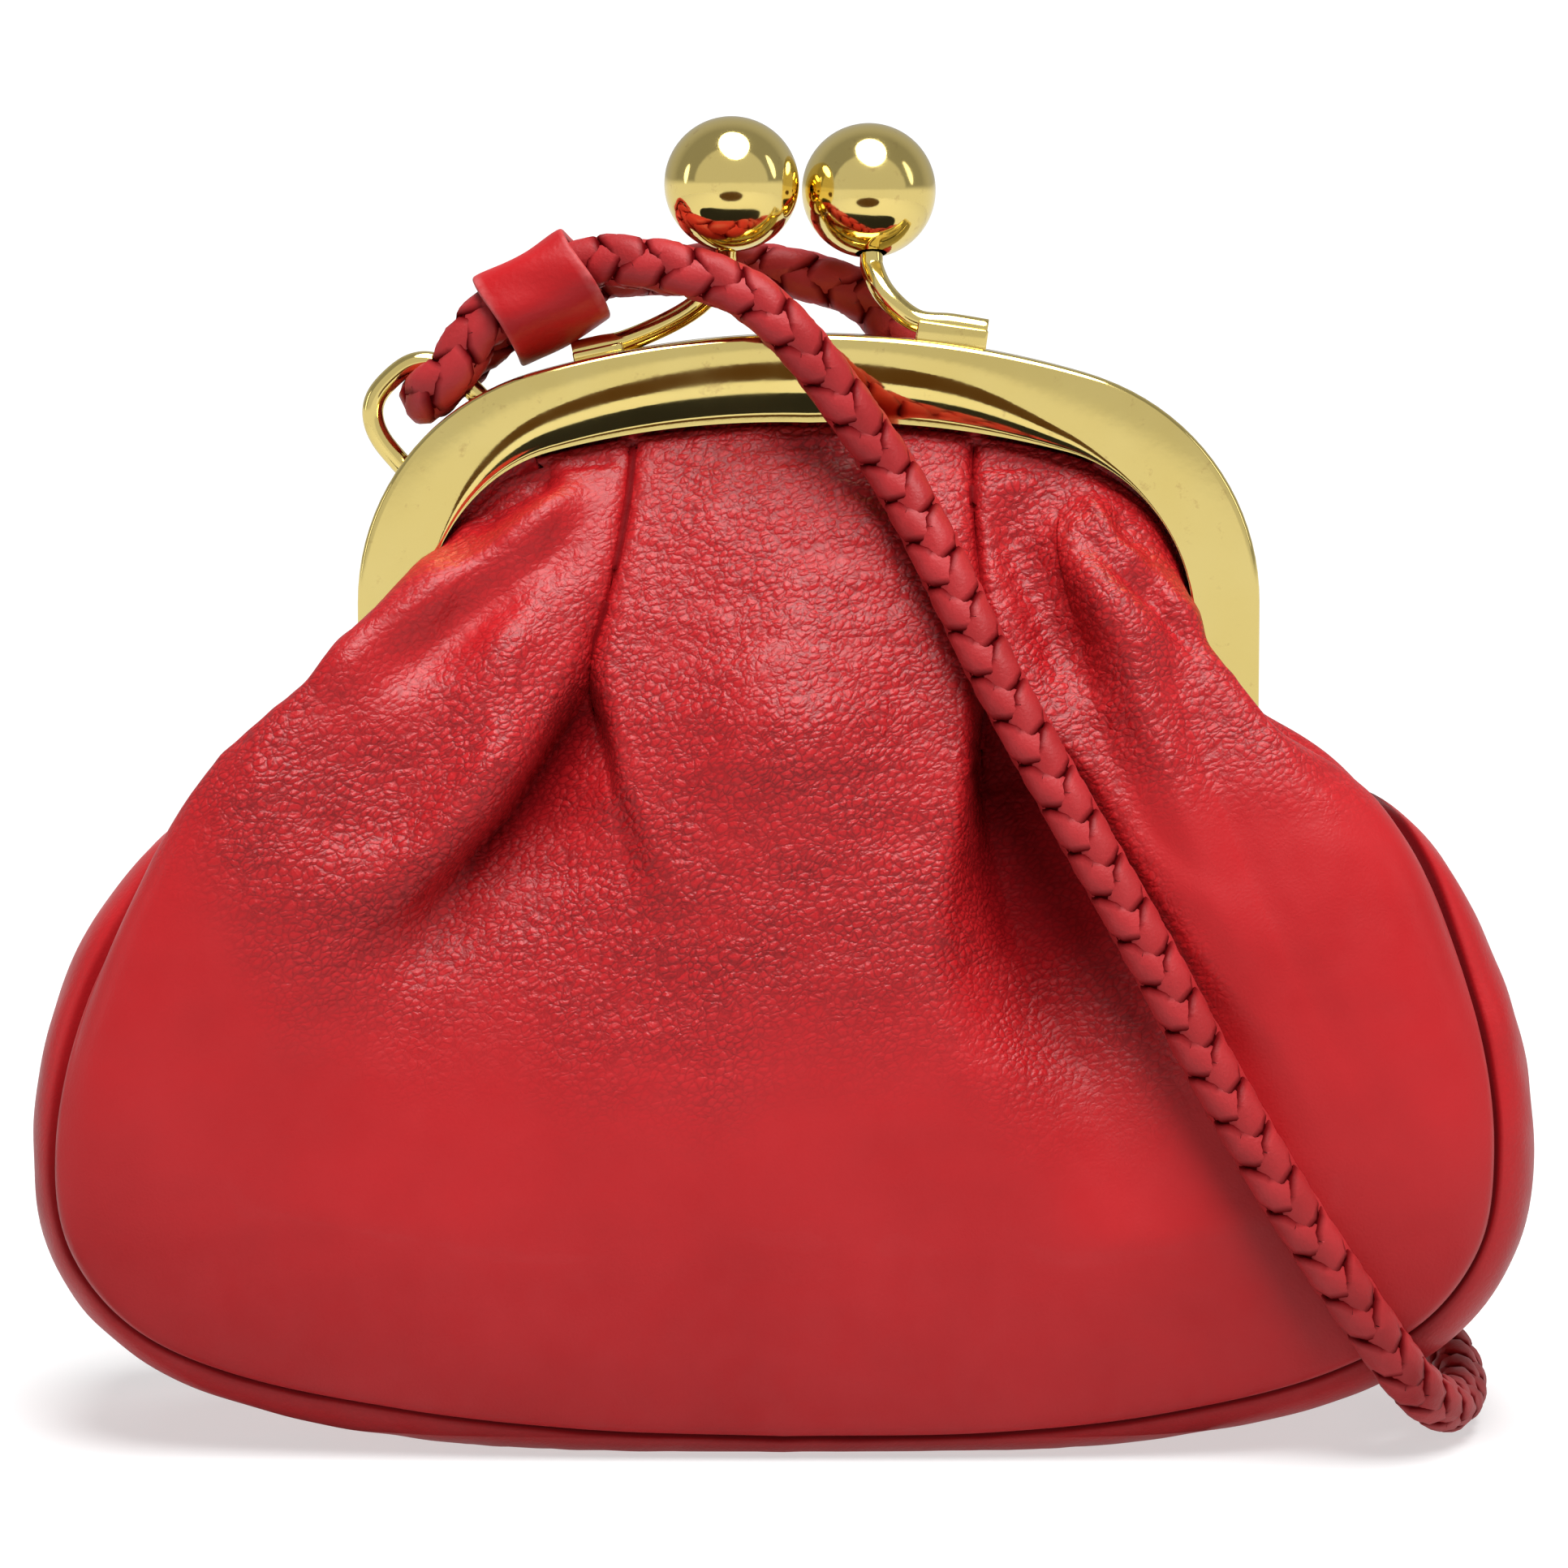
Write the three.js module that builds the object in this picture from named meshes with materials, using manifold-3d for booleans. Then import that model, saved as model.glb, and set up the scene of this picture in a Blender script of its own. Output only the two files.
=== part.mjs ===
// A small framed purse of soft leather: two pleated panels and a gusset make the pouch, a two-part
// metal frame with a pair of clasp balls closes its mouth, and a braided strap hangs on a wire ring.
// Millimetres, +Z up, the front faces -Y. The origin is on the ground under the middle of the pouch.
import * as THREE from "three";
import { mergeVertices } from "three/addons/utils/BufferGeometryUtils.js";
import Module from "manifold-3d";

const wasm = await Module();
wasm.setup();

// Driving dimensions
const LEATHER = 1.5; // wall of the panels and the gusset
const GAP = 0.3; // air kept between neighbouring pieces

// Frame: each half is a pressed channel along an arch of two legs, two corners and a shallow top
const FRAME_CENTRE_X = 2.85;
const FRAME_HALF_WIDTH = 52.15;
const FRAME_TOP_Z = 127.8;
const FRAME_TOP_RADIUS = 116;
const FRAME_CORNER_RADIUS = 27.5;
const FRAME_LEG_END_Z = 79;
const FRAME_DEPTH = 6.6; // front to back, one half
const FRAME_HALF_GAP = 0.2; // from the middle plane to a half's inner wall
const FRAME_SHEET = 1.0;
const FRAME_INNER_WALL = 4.2; // height of the wall that faces the other half
const EDGE_BEVEL = 0.9; // rounding of the face's outer edge
const BACK_BEVEL = 0.6; // rounding of the edge beside the other half
const FRAME_STEPS = { leg: 1, corner: 6, top: 5 }; // spans of the frame's mesh along each stretch

// Width of the face band along the frame, from a leg's end (at 0) to the middle of the top (at 0.5)
const BAND_WIDTH = [
  { at: 0, width: 6.4 },
  { at: 0.105, width: 7.9 },
  { at: 0.2, width: 8.9 },
  { at: 0.31, width: 9.3 },
  { at: 0.5, width: 10.2 },
];

// The face is flat to the middle of the band, then rolls back to a thin lip: share of the band's width
// from the outer edge, and depth behind the flat face.
const LIP_FACE = [
  { across: 0.5, deep: 0.0 },
  { across: 0.67, deep: 0.3 },
  { across: 0.81, deep: 1.0 },
  { across: 0.92, deep: 1.8 },
  { across: 1.0, deep: 2.1 },
];
const LIP_INSIDE = [
  { across: 1.0, deep: 3.0 },
  { across: 0.9, deep: 2.8 },
  { across: 0.77, deep: 2.0 },
  { across: 0.65, deep: 1.3 },
  { across: 0.5, deep: 1.0 },
];

// Hinge at the end of each leg: two overlapping tabs on one rivet
const HINGE_Z = 75.8;
const HINGE_TAB_RADIUS = 2.8;
const HINGE_TAB_THICK = 1.2;
const HINGE_TAB_RISE = 1.5; // how far the tab reaches up into the leg
const HINGE_TAB_INSET = { front: 2.4, back: 4.1 }; // from the frame's outer edge to the tab
const HINGE_TAB_MARGIN = 0.4; // the tab is this much narrower than the leg on each side
const RIVET_RADIUS = 1.2;
const RIVET_HEAD_RADIUS = 2.0;
const RIVET_HEAD_THICK = 0.8;

// Clasp: one ball on a bent wire arm for each half; the arms lean over each other's half
const BALL_RADIUS = 7.8;
const ARM_RADIUS = 1.35;
const ARM_TIP_IN_BALL = 4.0; // how far the arm's tip goes into its ball
const ARM_STRAIGHT = 0.5; // straight end of the arm outside the ball
const ARM_SOCKET_RADIUS = ARM_RADIUS + 1.5 * GAP;
const ARM_SIDES = 7;

// Strap ring: a wire loop on the left shoulder of the back half
const RING_WIRE_RADIUS = 0.9;
const RING_HALF = 6.0; // from its middle to the middle of the wire, along the frame's edge
const RING_HEIGHT = 7.7; // from the frame's edge to the middle of the wire
const RING_SQUARENESS = 0.75; // below 1 the loop is fuller than an ellipse
const RING_ANGLE = THREE.MathUtils.degToRad(-43); // lean of the loop from upright
const RING_Y = 2.5;
const RING_FOOT = 1.4; // length of a foot through the frame's edge

// Seam between a panel and the gusset, from a hinge (at 0) to the middle of the bottom (at 0.5): its
// outline, how far it lies from the middle plane, and how far the gusset swells outside it
const SEAM = [
  { at: 0.0, x: 55.5, z: 73.8, halfDepth: 6.0, swell: -2.0 },
  { at: 0.026, x: 63.0, z: 74.0, halfDepth: 8.5, swell: 0.0 },
  { at: 0.058, x: 70.0, z: 68.2, halfDepth: 12.0, swell: 2.6 },
  { at: 0.098, x: 75.6, z: 58.0, halfDepth: 16.0, swell: 4.4 },
  { at: 0.139, x: 79.0, z: 46.6, halfDepth: 19.0, swell: 5.6 },
  { at: 0.177, x: 80.0, z: 35.4, halfDepth: 20.8, swell: 6.2 },
  { at: 0.21, x: 78.6, z: 25.6, halfDepth: 21.6, swell: 6.5 },
  { at: 0.244, x: 72.9, z: 17.6, halfDepth: 22.0, swell: 6.7 },
  { at: 0.284, x: 62.5, z: 11.8, halfDepth: 22.0, swell: 6.7 },
  { at: 0.35, x: 43.6, z: 7.2, halfDepth: 22.0, swell: 6.2 },
  { at: 0.42, x: 23.4, z: 4.9, halfDepth: 22.0, swell: 5.6 },
  { at: 0.5, x: 0.0, z: 4.3, halfDepth: 22.0, swell: 5.4 },
];
const HINGE_SHARE = 0.12; // share of the seam's length over which its ends follow the frame
const HINGE_EASE = 0.15; // a little more air between the two leathers there
const SEAM_ROLL_RADIUS = 1.1; // how tightly the leather turns into the seam
const SEAM_FLANGE = 2.2; // turned-in seam allowance
const MOUTH_TRIM = 0.015; // the leather stops short of the hinge by this share of the frame's edge

// Ribs of the front panel run from the frame's mouth to the seam as cubic curves. launch, forward and
// rise place the first handle from the mouth; reach, crown and lift the second one from the seam.
const RIBS = [
  { at: 0.0, launch: 5.0, forward: 8.0, rise: 0.0, reach: -3.0, crown: 4.0, lift: 4.0 },
  { at: 0.05, launch: 5.0, forward: 12.0, rise: 6.0, reach: 0.0, crown: 8.0, lift: 15.0 },
  { at: 0.1, launch: 6.5, forward: 14.0, rise: 8.0, reach: 5.0, crown: 9.0, lift: 18.0 },
  { at: 0.17, launch: 9.0, forward: 15.0, rise: 4.0, reach: 12.0, crown: 9.0, lift: 14.0 },
  { at: 0.27, launch: 14.0, forward: 15.0, rise: 0.0, reach: 20.0, crown: 9.0, lift: 5.0 },
  { at: 0.38, launch: 21.0, forward: 15.0, rise: 0.0, reach: 27.0, crown: 9.0, lift: 0.0 },
  { at: 0.5, launch: 23.0, forward: 15.5, rise: 0.0, reach: 30.0, crown: 9.5, lift: 0.0 },
  { at: 0.62, launch: 21.0, forward: 15.0, rise: 0.0, reach: 27.0, crown: 9.0, lift: 0.0 },
  { at: 0.73, launch: 14.0, forward: 15.0, rise: 0.0, reach: 20.0, crown: 9.0, lift: 1.0 },
  { at: 0.83, launch: 7.0, forward: 15.0, rise: 0.0, reach: 12.0, crown: 9.0, lift: 3.0 },
  { at: 0.9, launch: 5.0, forward: 14.0, rise: 0.0, reach: 5.0, crown: 9.0, lift: 6.0 },
  { at: 0.95, launch: 5.0, forward: 12.0, rise: 0.0, reach: 1.0, crown: 8.0, lift: 6.0 },
  { at: 1.0, launch: 5.0, forward: 8.0, rise: 0.0, reach: -3.0, crown: 4.0, lift: 3.0 },
];
const GRIP = 5.0; // leather held inside the channel
const GRIP_EASE = 0.5; // from the leather to the channel's inner wall and to the lip
const RIB_STEPS = [0.06, 0.15, 0.24, 0.3, 0.35, 0.41, 0.48, 0.58, 0.7, 0.86, 1.0];
const LEATHER_STATIONS = 32; // even stations from hinge to hinge, the same on the panels and the gusset

// Each dart is sewn along a narrow groove from the mouth to sewnEnd, a place on the rib. Below that it
// opens into a valley: line is the sewn line and then the foot of the middle puff's steep side, and
// the valley's width runs out from it.
const DARTS = [
  {
    outside: -1,
    sewnEnd: 0.31,
    valley: [
      { at: 0.0, line: 0.3645, width: 0.016, depth: 0.0 },
      { at: 0.14, line: 0.351, width: 0.016, depth: 0.0 },
      { at: 0.28, line: 0.351, width: 0.016, depth: 0.0 },
      { at: 0.35, line: 0.36, width: 0.032, depth: 5.0 },
      { at: 0.43, line: 0.378, width: 0.054, depth: 5.0 },
      { at: 0.52, line: 0.394, width: 0.085, depth: 2.8 },
      { at: 0.65, line: 0.405, width: 0.11, depth: 0.6 },
      { at: 0.8, line: 0.408, width: 0.12, depth: 0.0 },
    ],
  },
  {
    outside: 1,
    sewnEnd: 0.32,
    valley: [
      { at: 0.0, line: 0.628, width: 0.016, depth: 0.0 },
      { at: 0.14, line: 0.633, width: 0.016, depth: 0.0 },
      { at: 0.28, line: 0.6265, width: 0.016, depth: 0.0 },
      { at: 0.35, line: 0.6205, width: 0.04, depth: 5.5 },
      { at: 0.43, line: 0.621, width: 0.062, depth: 6.0 },
      { at: 0.53, line: 0.624, width: 0.078, depth: 4.6 },
      { at: 0.64, line: 0.628, width: 0.085, depth: 2.4 },
      { at: 0.8, line: 0.63, width: 0.09, depth: 0.0 },
    ],
  },
];
const DART_GROOVE = { depth: 1.5, halfWidth: 0.008 };
const DART_WALL = 0.014; // width of the steep side, in stations
const DART_STATIONS = [-0.032, -0.016, -0.006, 0, 0.008, 0.026, 0.055];

// Soft swells of a panel: height above the plain rib surface, at a station and a place on the rib
const SWELLS = [
  { at: 0.5, spread: 0.07, along: 0.4, length: 0.3, height: 2.0 },
  { at: 0.29, spread: 0.045, along: 0.28, length: 0.22, height: 2.0 },
  { at: 0.69, spread: 0.03, along: 0.18, length: 0.16, height: -2.0 },
  { at: 0.755, spread: 0.035, along: 0.3, length: 0.25, height: 2.0 },
];

// Strap: one braided cord, doubled through the ring, with its ends butted inside the keeper
const STRAP_RADIUS = 2.95;
const STRAP_SIDES = 8;
const KEEPER_LENGTH = 12.6;
const KEEPER_WALL = 1.4;
const KEEPER_EASE = 0.45; // between the strap and the keeper's bore
const KEEPER_LANE = STRAP_RADIUS + GAP / 2; // from the keeper's axis to the middle of a run
const KEEPER_CENTRE = new THREE.Vector3(-27.8, 0.7, 131.9);
const KEEPER_SLOPE = THREE.MathUtils.degToRad(28); // rise of its axis to the right
const KEEPER_TURN = THREE.MathUtils.degToRad(16); // about its axis, from front-and-back

// The keeper's drawing has its lanes along x and its length along z.
const KEEPER_PLACE = new THREE.Matrix4()
  .makeTranslation(KEEPER_CENTRE)
  .multiply(new THREE.Matrix4().makeRotationY(Math.PI / 2 - KEEPER_SLOPE))
  .multiply(new THREE.Matrix4().makeRotationZ(-Math.PI / 2 - KEEPER_TURN));

// Smooth curve through one column of a table whose rows are in order of "at".
function column(table, name, at) {
  const last = table.length - 1;
  let i = 0;
  while (i < last - 1 && at > table[i + 1].at) i += 1;
  const slope = (a, b) => (table[b][name] - table[a][name]) / (table[b].at - table[a].at);
  const tangent = (k) => {
    if (k === 0) return slope(0, 1);
    if (k === last) return slope(last - 1, last);
    return (slope(k - 1, k) + slope(k, k + 1)) / 2;
  };
  const span = table[i + 1].at - table[i].at;
  const s = THREE.MathUtils.clamp((at - table[i].at) / span, 0, 1);
  const s2 = s * s;
  const s3 = s2 * s;
  return (
    (2 * s3 - 3 * s2 + 1) * table[i][name] +
    (s3 - 2 * s2 + s) * span * tangent(i) +
    (3 * s2 - 2 * s3) * table[i + 1][name] +
    (s3 - s2) * span * tangent(i + 1)
  );
}

const smooth = (low, high, x) => THREE.MathUtils.smoothstep(x, low, high);

// Solid helpers
// Closed skin over a grid of points on the outside and one on the inside.
function wallGeometry(outer, inner) {
  const rows = outer.length;
  const columns = outer[0].length;
  const positions = [];
  const index = [];
  for (const p of [...outer.flat(), ...inner.flat()]) positions.push(p.x, p.y, p.z);
  const id = (layer, i, j) => (layer * rows + i) * columns + j;
  const quad = (a, b, c, d) => index.push(a, b, c, a, c, d);
  for (let i = 0; i < rows - 1; i += 1) {
    for (let j = 0; j < columns - 1; j += 1) {
      quad(id(0, i, j), id(0, i + 1, j), id(0, i + 1, j + 1), id(0, i, j + 1));
      quad(id(1, i, j), id(1, i, j + 1), id(1, i + 1, j + 1), id(1, i + 1, j));
    }
    quad(id(0, i, 0), id(1, i, 0), id(1, i + 1, 0), id(0, i + 1, 0));
    quad(id(0, i + 1, columns - 1), id(1, i + 1, columns - 1), id(1, i, columns - 1), id(0, i, columns - 1));
  }
  for (let j = 0; j < columns - 1; j += 1) {
    quad(id(0, 0, j + 1), id(1, 0, j + 1), id(1, 0, j), id(0, 0, j));
    quad(id(0, rows - 1, j), id(1, rows - 1, j), id(1, rows - 1, j + 1), id(0, rows - 1, j + 1));
  }
  return indexed(positions, index);
}

// Closed skin through rings of points; flatRing is a ring's outline in its own plane, for the ends.
function loftGeometry(rings, flatRing) {
  const count = flatRing.length;
  const positions = rings.flatMap((ring) => ring.flatMap((p) => [p.x, p.y, p.z]));
  const index = [];
  for (let i = 0; i < rings.length - 1; i += 1) {
    for (let j = 0; j < count; j += 1) {
      const a = i * count + j;
      const b = i * count + ((j + 1) % count);
      index.push(a, b, b + count, a, b + count, a + count);
    }
  }
  const lastRing = (rings.length - 1) * count;
  for (const [a, b, c] of THREE.ShapeUtils.triangulateShape(flatRing, [])) {
    index.push(c, b, a, lastRing + a, lastRing + b, lastRing + c);
  }
  return indexed(positions, index);
}

function indexed(positions, index) {
  const geometry = new THREE.BufferGeometry();
  geometry.setAttribute("position", new THREE.Float32BufferAttribute(positions, 3));
  geometry.setIndex(index);
  return geometry;
}

function solid(geometry) {
  const bare = new THREE.BufferGeometry().setAttribute("position", geometry.getAttribute("position"));
  if (geometry.index) bare.setIndex(geometry.index);
  const merged = mergeVertices(bare, 1e-4);
  const vertProperties = new Float32Array(merged.attributes.position.array);
  const triVerts = new Uint32Array(merged.index.array);
  const made = new wasm.Manifold(new wasm.Mesh({ numProp: 3, vertProperties, triVerts }));
  if (made.volume() > 0) return made;
  triVerts.reverse();
  return new wasm.Manifold(new wasm.Mesh({ numProp: 3, vertProperties, triVerts }));
}

function geometryOf(made) {
  const mesh = made.getMesh();
  return indexed(Array.from(mesh.vertProperties), Array.from(mesh.triVerts));
}

// Round wire along a smooth curve through points.
function wireGeometry(points, radius, sides, steps) {
  const path = new THREE.CatmullRomCurve3(points, false, "centripetal");
  const section = new THREE.Shape();
  for (let k = 0; k < sides; k += 1) {
    const angle = (2 * Math.PI * k) / sides;
    const [x, y] = [radius * Math.cos(angle), radius * Math.sin(angle)];
    if (k === 0) section.moveTo(x, y);
    else section.lineTo(x, y);
  }
  return new THREE.ExtrudeGeometry(section, { steps, extrudePath: path, curveSegments: 1 });
}

// Frame
const TOP_SPAN = Math.asin(
  (FRAME_HALF_WIDTH - FRAME_CORNER_RADIUS) / (FRAME_TOP_RADIUS - FRAME_CORNER_RADIUS),
);
const TOP_CENTRE_Z = FRAME_TOP_Z - FRAME_TOP_RADIUS;
const CORNER_X = FRAME_HALF_WIDTH - FRAME_CORNER_RADIUS;
const CORNER_Z = TOP_CENTRE_Z + (FRAME_TOP_RADIUS - FRAME_CORNER_RADIUS) * Math.cos(TOP_SPAN);
const TOP_RUN = FRAME_TOP_RADIUS * TOP_SPAN;
const CORNER_RUN = FRAME_CORNER_RADIUS * (Math.PI / 2 - TOP_SPAN);
const HALF_RUN = TOP_RUN + CORNER_RUN + CORNER_Z - FRAME_LEG_END_Z;

// Outer edge of the frame at a station from 0 (left leg's end) to 1 (right leg's end): the point
// and the direction into the mouth, both in the plane of the frame.
function frameEdge(at) {
  const side = at < 0.5 ? -1 : 1;
  const run = Math.abs(at - 0.5) * 2 * HALF_RUN;
  let lean = Math.min(run, TOP_RUN) / FRAME_TOP_RADIUS;
  let x = FRAME_TOP_RADIUS * Math.sin(lean);
  let z = TOP_CENTRE_Z + FRAME_TOP_RADIUS * Math.cos(lean);
  if (run > TOP_RUN) {
    lean = TOP_SPAN + Math.min(run - TOP_RUN, CORNER_RUN) / FRAME_CORNER_RADIUS;
    x = CORNER_X + FRAME_CORNER_RADIUS * Math.sin(lean);
    z = CORNER_Z + FRAME_CORNER_RADIUS * Math.cos(lean);
    z -= Math.max(run - TOP_RUN - CORNER_RUN, 0);
  }
  return { x: side * x, z, inX: -side * Math.sin(lean), inZ: -Math.cos(lean) };
}

const bandWidth = (at) => column(BAND_WIDTH, "width", Math.min(at, 1 - at));

// Section of the front half's channel: d runs from the outer edge into the mouth, y from front to back.
function channelSection(width) {
  const face = -FRAME_HALF_GAP - FRAME_DEPTH;
  const back = -FRAME_HALF_GAP;
  const lip = (rows) => rows.map(({ across, deep }) => [across * width, face + deep]);
  return [
    [0, face + EDGE_BEVEL],
    [EDGE_BEVEL, face],
    ...lip(LIP_FACE),
    ...lip(LIP_INSIDE),
    [FRAME_SHEET, face + FRAME_SHEET],
    [FRAME_SHEET, back - FRAME_SHEET],
    [FRAME_INNER_WALL, back - FRAME_SHEET],
    [FRAME_INNER_WALL, back],
    [BACK_BEVEL, back],
    [0, back - BACK_BEVEL],
  ];
}

// Stations along the frame: few on the straight legs, more on the corners.
function frameStations() {
  const runs = [0, HALF_RUN - TOP_RUN - CORNER_RUN, HALF_RUN - TOP_RUN, HALF_RUN];
  const counts = [FRAME_STEPS.leg, FRAME_STEPS.corner, FRAME_STEPS.top];
  const half = [0];
  counts.forEach((count, k) => {
    for (let i = 1; i <= count; i += 1) half.push(THREE.MathUtils.lerp(runs[k], runs[k + 1], i / count));
  });
  const left = half.map((run) => run / (2 * HALF_RUN));
  return [...left, ...left.slice(0, -1).reverse().map((at) => 1 - at)];
}

function channelGeometry(side) {
  const rings = frameStations().map((at) => {
    const edge = frameEdge(at);
    return channelSection(bandWidth(at)).map(
      ([d, y]) => new THREE.Vector3(edge.x + edge.inX * d, -side * y, edge.z + edge.inZ * d),
    );
  });
  const flat = channelSection(bandWidth(0)).map(([d, y]) => new THREE.Vector2(d, y));
  return loftGeometry(rings, flat);
}

// One hinge tab: a round-ended plate that hangs from a leg of the half on this side.
function hingeTab(side, legSide, inset) {
  const outline = new THREE.Shape();
  const near = -FRAME_HALF_GAP - HINGE_TAB_MARGIN;
  const far = -FRAME_HALF_GAP - FRAME_DEPTH + HINGE_TAB_MARGIN;
  const top = FRAME_LEG_END_Z + HINGE_TAB_RISE;
  outline.moveTo(near, top);
  outline.lineTo(far, top);
  outline.lineTo(far, FRAME_LEG_END_Z);
  outline.absarc(0, HINGE_Z, HINGE_TAB_RADIUS, -Math.PI * 0.95, Math.PI * 0.35, false);
  outline.lineTo(near, FRAME_LEG_END_Z - GAP);
  const hole = new THREE.Path();
  hole.absarc(0, HINGE_Z, RIVET_RADIUS + GAP, 0, 2 * Math.PI, true);
  outline.holes.push(hole);
  const plate = new THREE.ExtrudeGeometry(outline, {
    depth: HINGE_TAB_THICK,
    bevelEnabled: false,
    curveSegments: 8,
  });
  // The drawing's axes are the purse's Y and Z, and its depth runs along X.
  const place = new THREE.Matrix4().set(0, 0, 1, 0, -side, 0, 0, 0, 0, 1, 0, 0, 0, 0, 0, 1);
  plate.applyMatrix4(place);
  const outerX = FRAME_HALF_WIDTH - inset;
  plate.translate(legSide > 0 ? outerX - HINGE_TAB_THICK : -outerX, 0, 0);
  return plate;
}

// Clasp arms as wire centrelines, from the foot on the frame's edge to the tip inside the ball
const ARMS = {
  front: {
    ball: new THREE.Vector3(7.0, 2.0, 144.3),
    foot: { from: 20.6, to: 12.4, y: -3.4, rise: 2.2 },
    bend: [new THREE.Vector3(8.8, -2.7, 132.4), new THREE.Vector3(7.3, -0.6, 135.6)],
  },
  back: {
    ball: new THREE.Vector3(-8.9, -2.0, 145.0),
    foot: { from: -27.5, to: -21.5, y: 3.4, rise: 1.0 },
    bend: [new THREE.Vector3(-13.0, 2.9, 131.0), new THREE.Vector3(-9.7, 0.9, 135.2)],
  },
};
const FOOT_SINK = 0.4; // how deep the soldered foot sits in the frame's edge
const FOOT_WIDTH = 3.2;

const topZ = (x) => TOP_CENTRE_Z + Math.sqrt(FRAME_TOP_RADIUS ** 2 - x ** 2); // edge of the frame's top

// Unit direction of an arm's straight end, into its ball.
const armEnd = (arm) => arm.ball.clone().sub(arm.bend[1]).normalize();

function armSolid(arm) {
  const { from, to, y, rise } = arm.foot;
  const onTop = (x) => new THREE.Vector3(x, y, topZ(x) + rise);
  const inBall = (depth) => arm.ball.clone().addScaledVector(armEnd(arm), depth - BALL_RADIUS);
  const alongFoot = [onTop(from), onTop((from + to) / 2), onTop(to)];
  const points = [...alongFoot, ...arm.bend, inBall(-ARM_STRAIGHT), inBall(ARM_TIP_IN_BALL)];
  const wire = solid(wireGeometry(points, ARM_RADIUS, ARM_SIDES, 13));
  const length = Math.abs(to - from);
  const middle = (from + to) / 2;
  const foot = new THREE.BoxGeometry(length, FOOT_WIDTH, rise + FOOT_SINK);
  foot.rotateY(Math.asin(middle / FRAME_TOP_RADIUS));
  foot.translate(middle, y, topZ(middle) + (rise - FOOT_SINK) / 2);
  return wire.add(solid(foot));
}

function frameHalf(name, side, inset, arm) {
  let made = solid(channelGeometry(side));
  for (const legSide of [-1, 1]) made = made.add(solid(hingeTab(side, legSide, inset)));
  return { name, made: made.add(armSolid(arm)) };
}

function ballGeometry(arm) {
  const sphere = solid(new THREE.SphereGeometry(BALL_RADIUS, 14, 10).translate(...arm.ball.toArray()));
  const inBall = (depth) => arm.ball.clone().addScaledVector(armEnd(arm), depth - BALL_RADIUS);
  const run = [inBall(-1), inBall(ARM_TIP_IN_BALL + GAP)];
  const socket = wireGeometry(run, ARM_SOCKET_RADIUS, ARM_SIDES, 1);
  return geometryOf(sphere.subtract(solid(socket)));
}

function rivetGeometry(legSide) {
  const inner = HINGE_TAB_INSET.back + HINGE_TAB_THICK + GAP;
  const outer = HINGE_TAB_INSET.front - GAP;
  const profile = [
    [0, outer - RIVET_HEAD_THICK],
    [RIVET_HEAD_RADIUS, outer - RIVET_HEAD_THICK],
    [RIVET_HEAD_RADIUS, outer],
    [RIVET_RADIUS, outer],
    [RIVET_RADIUS, inner],
    [RIVET_HEAD_RADIUS, inner],
    [RIVET_HEAD_RADIUS, inner + RIVET_HEAD_THICK],
    [0, inner + RIVET_HEAD_THICK],
  ].map(([r, d]) => new THREE.Vector2(r, d));
  const rivet = new THREE.LatheGeometry(profile, 10);
  rivet.rotateZ(legSide > 0 ? Math.PI / 2 : -Math.PI / 2);
  rivet.translate(legSide * FRAME_HALF_WIDTH, 0, HINGE_Z);
  return rivet;
}

// Strap ring: the loop's own plane has u along the frame's edge and h away from it.
function ringPlace(u, h, y) {
  const lean = new THREE.Vector2(Math.sin(RING_ANGLE), Math.cos(RING_ANGLE));
  const out = FRAME_CORNER_RADIUS + h;
  return new THREE.Vector3(-CORNER_X + lean.y * u + lean.x * out, y, CORNER_Z - lean.x * u + lean.y * out);
}

// Wire of the loop; grow widens the wire for the holes that its feet go through.
function ringGeometry(grow) {
  const drop = FRAME_CORNER_RADIUS - Math.sqrt(FRAME_CORNER_RADIUS ** 2 - RING_HALF ** 2);
  const foot = -drop - RING_FOOT - grow;
  const points = [ringPlace(-RING_HALF, foot, RING_Y)];
  const steps = 10;
  for (let k = 0; k <= steps; k += 1) {
    const angle = Math.PI * (1 - k / steps);
    const across = Math.sign(Math.cos(angle)) * Math.abs(Math.cos(angle)) ** RING_SQUARENESS;
    const up = Math.abs(Math.sin(angle)) ** RING_SQUARENESS;
    points.push(ringPlace(RING_HALF * across, RING_HEIGHT * up, RING_Y));
  }
  points.push(ringPlace(RING_HALF, foot, RING_Y));
  return wireGeometry(points, RING_WIRE_RADIUS + grow, ARM_SIDES, 16);
}

// Strap keeper: a short sleeve round the two runs of the strap, one behind the other and a little turned
function keeperGeometry() {
  const outline = (radius, shape) => {
    shape.absarc(KEEPER_LANE, 0, radius, -Math.PI / 2, Math.PI / 2, false);
    shape.absarc(-KEEPER_LANE, 0, radius, Math.PI / 2, 1.5 * Math.PI, false);
    return shape;
  };
  const bore = STRAP_RADIUS + KEEPER_EASE;
  const sleeve = outline(bore + KEEPER_WALL, new THREE.Shape());
  sleeve.holes.push(outline(bore, new THREE.Path()));
  const geometry = new THREE.ExtrudeGeometry(sleeve, {
    depth: KEEPER_LENGTH,
    bevelEnabled: false,
    curveSegments: 5,
  });
  geometry.translate(0, 0, -KEEPER_LENGTH / 2);
  geometry.applyMatrix4(KEEPER_PLACE);
  return geometry;
}

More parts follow.
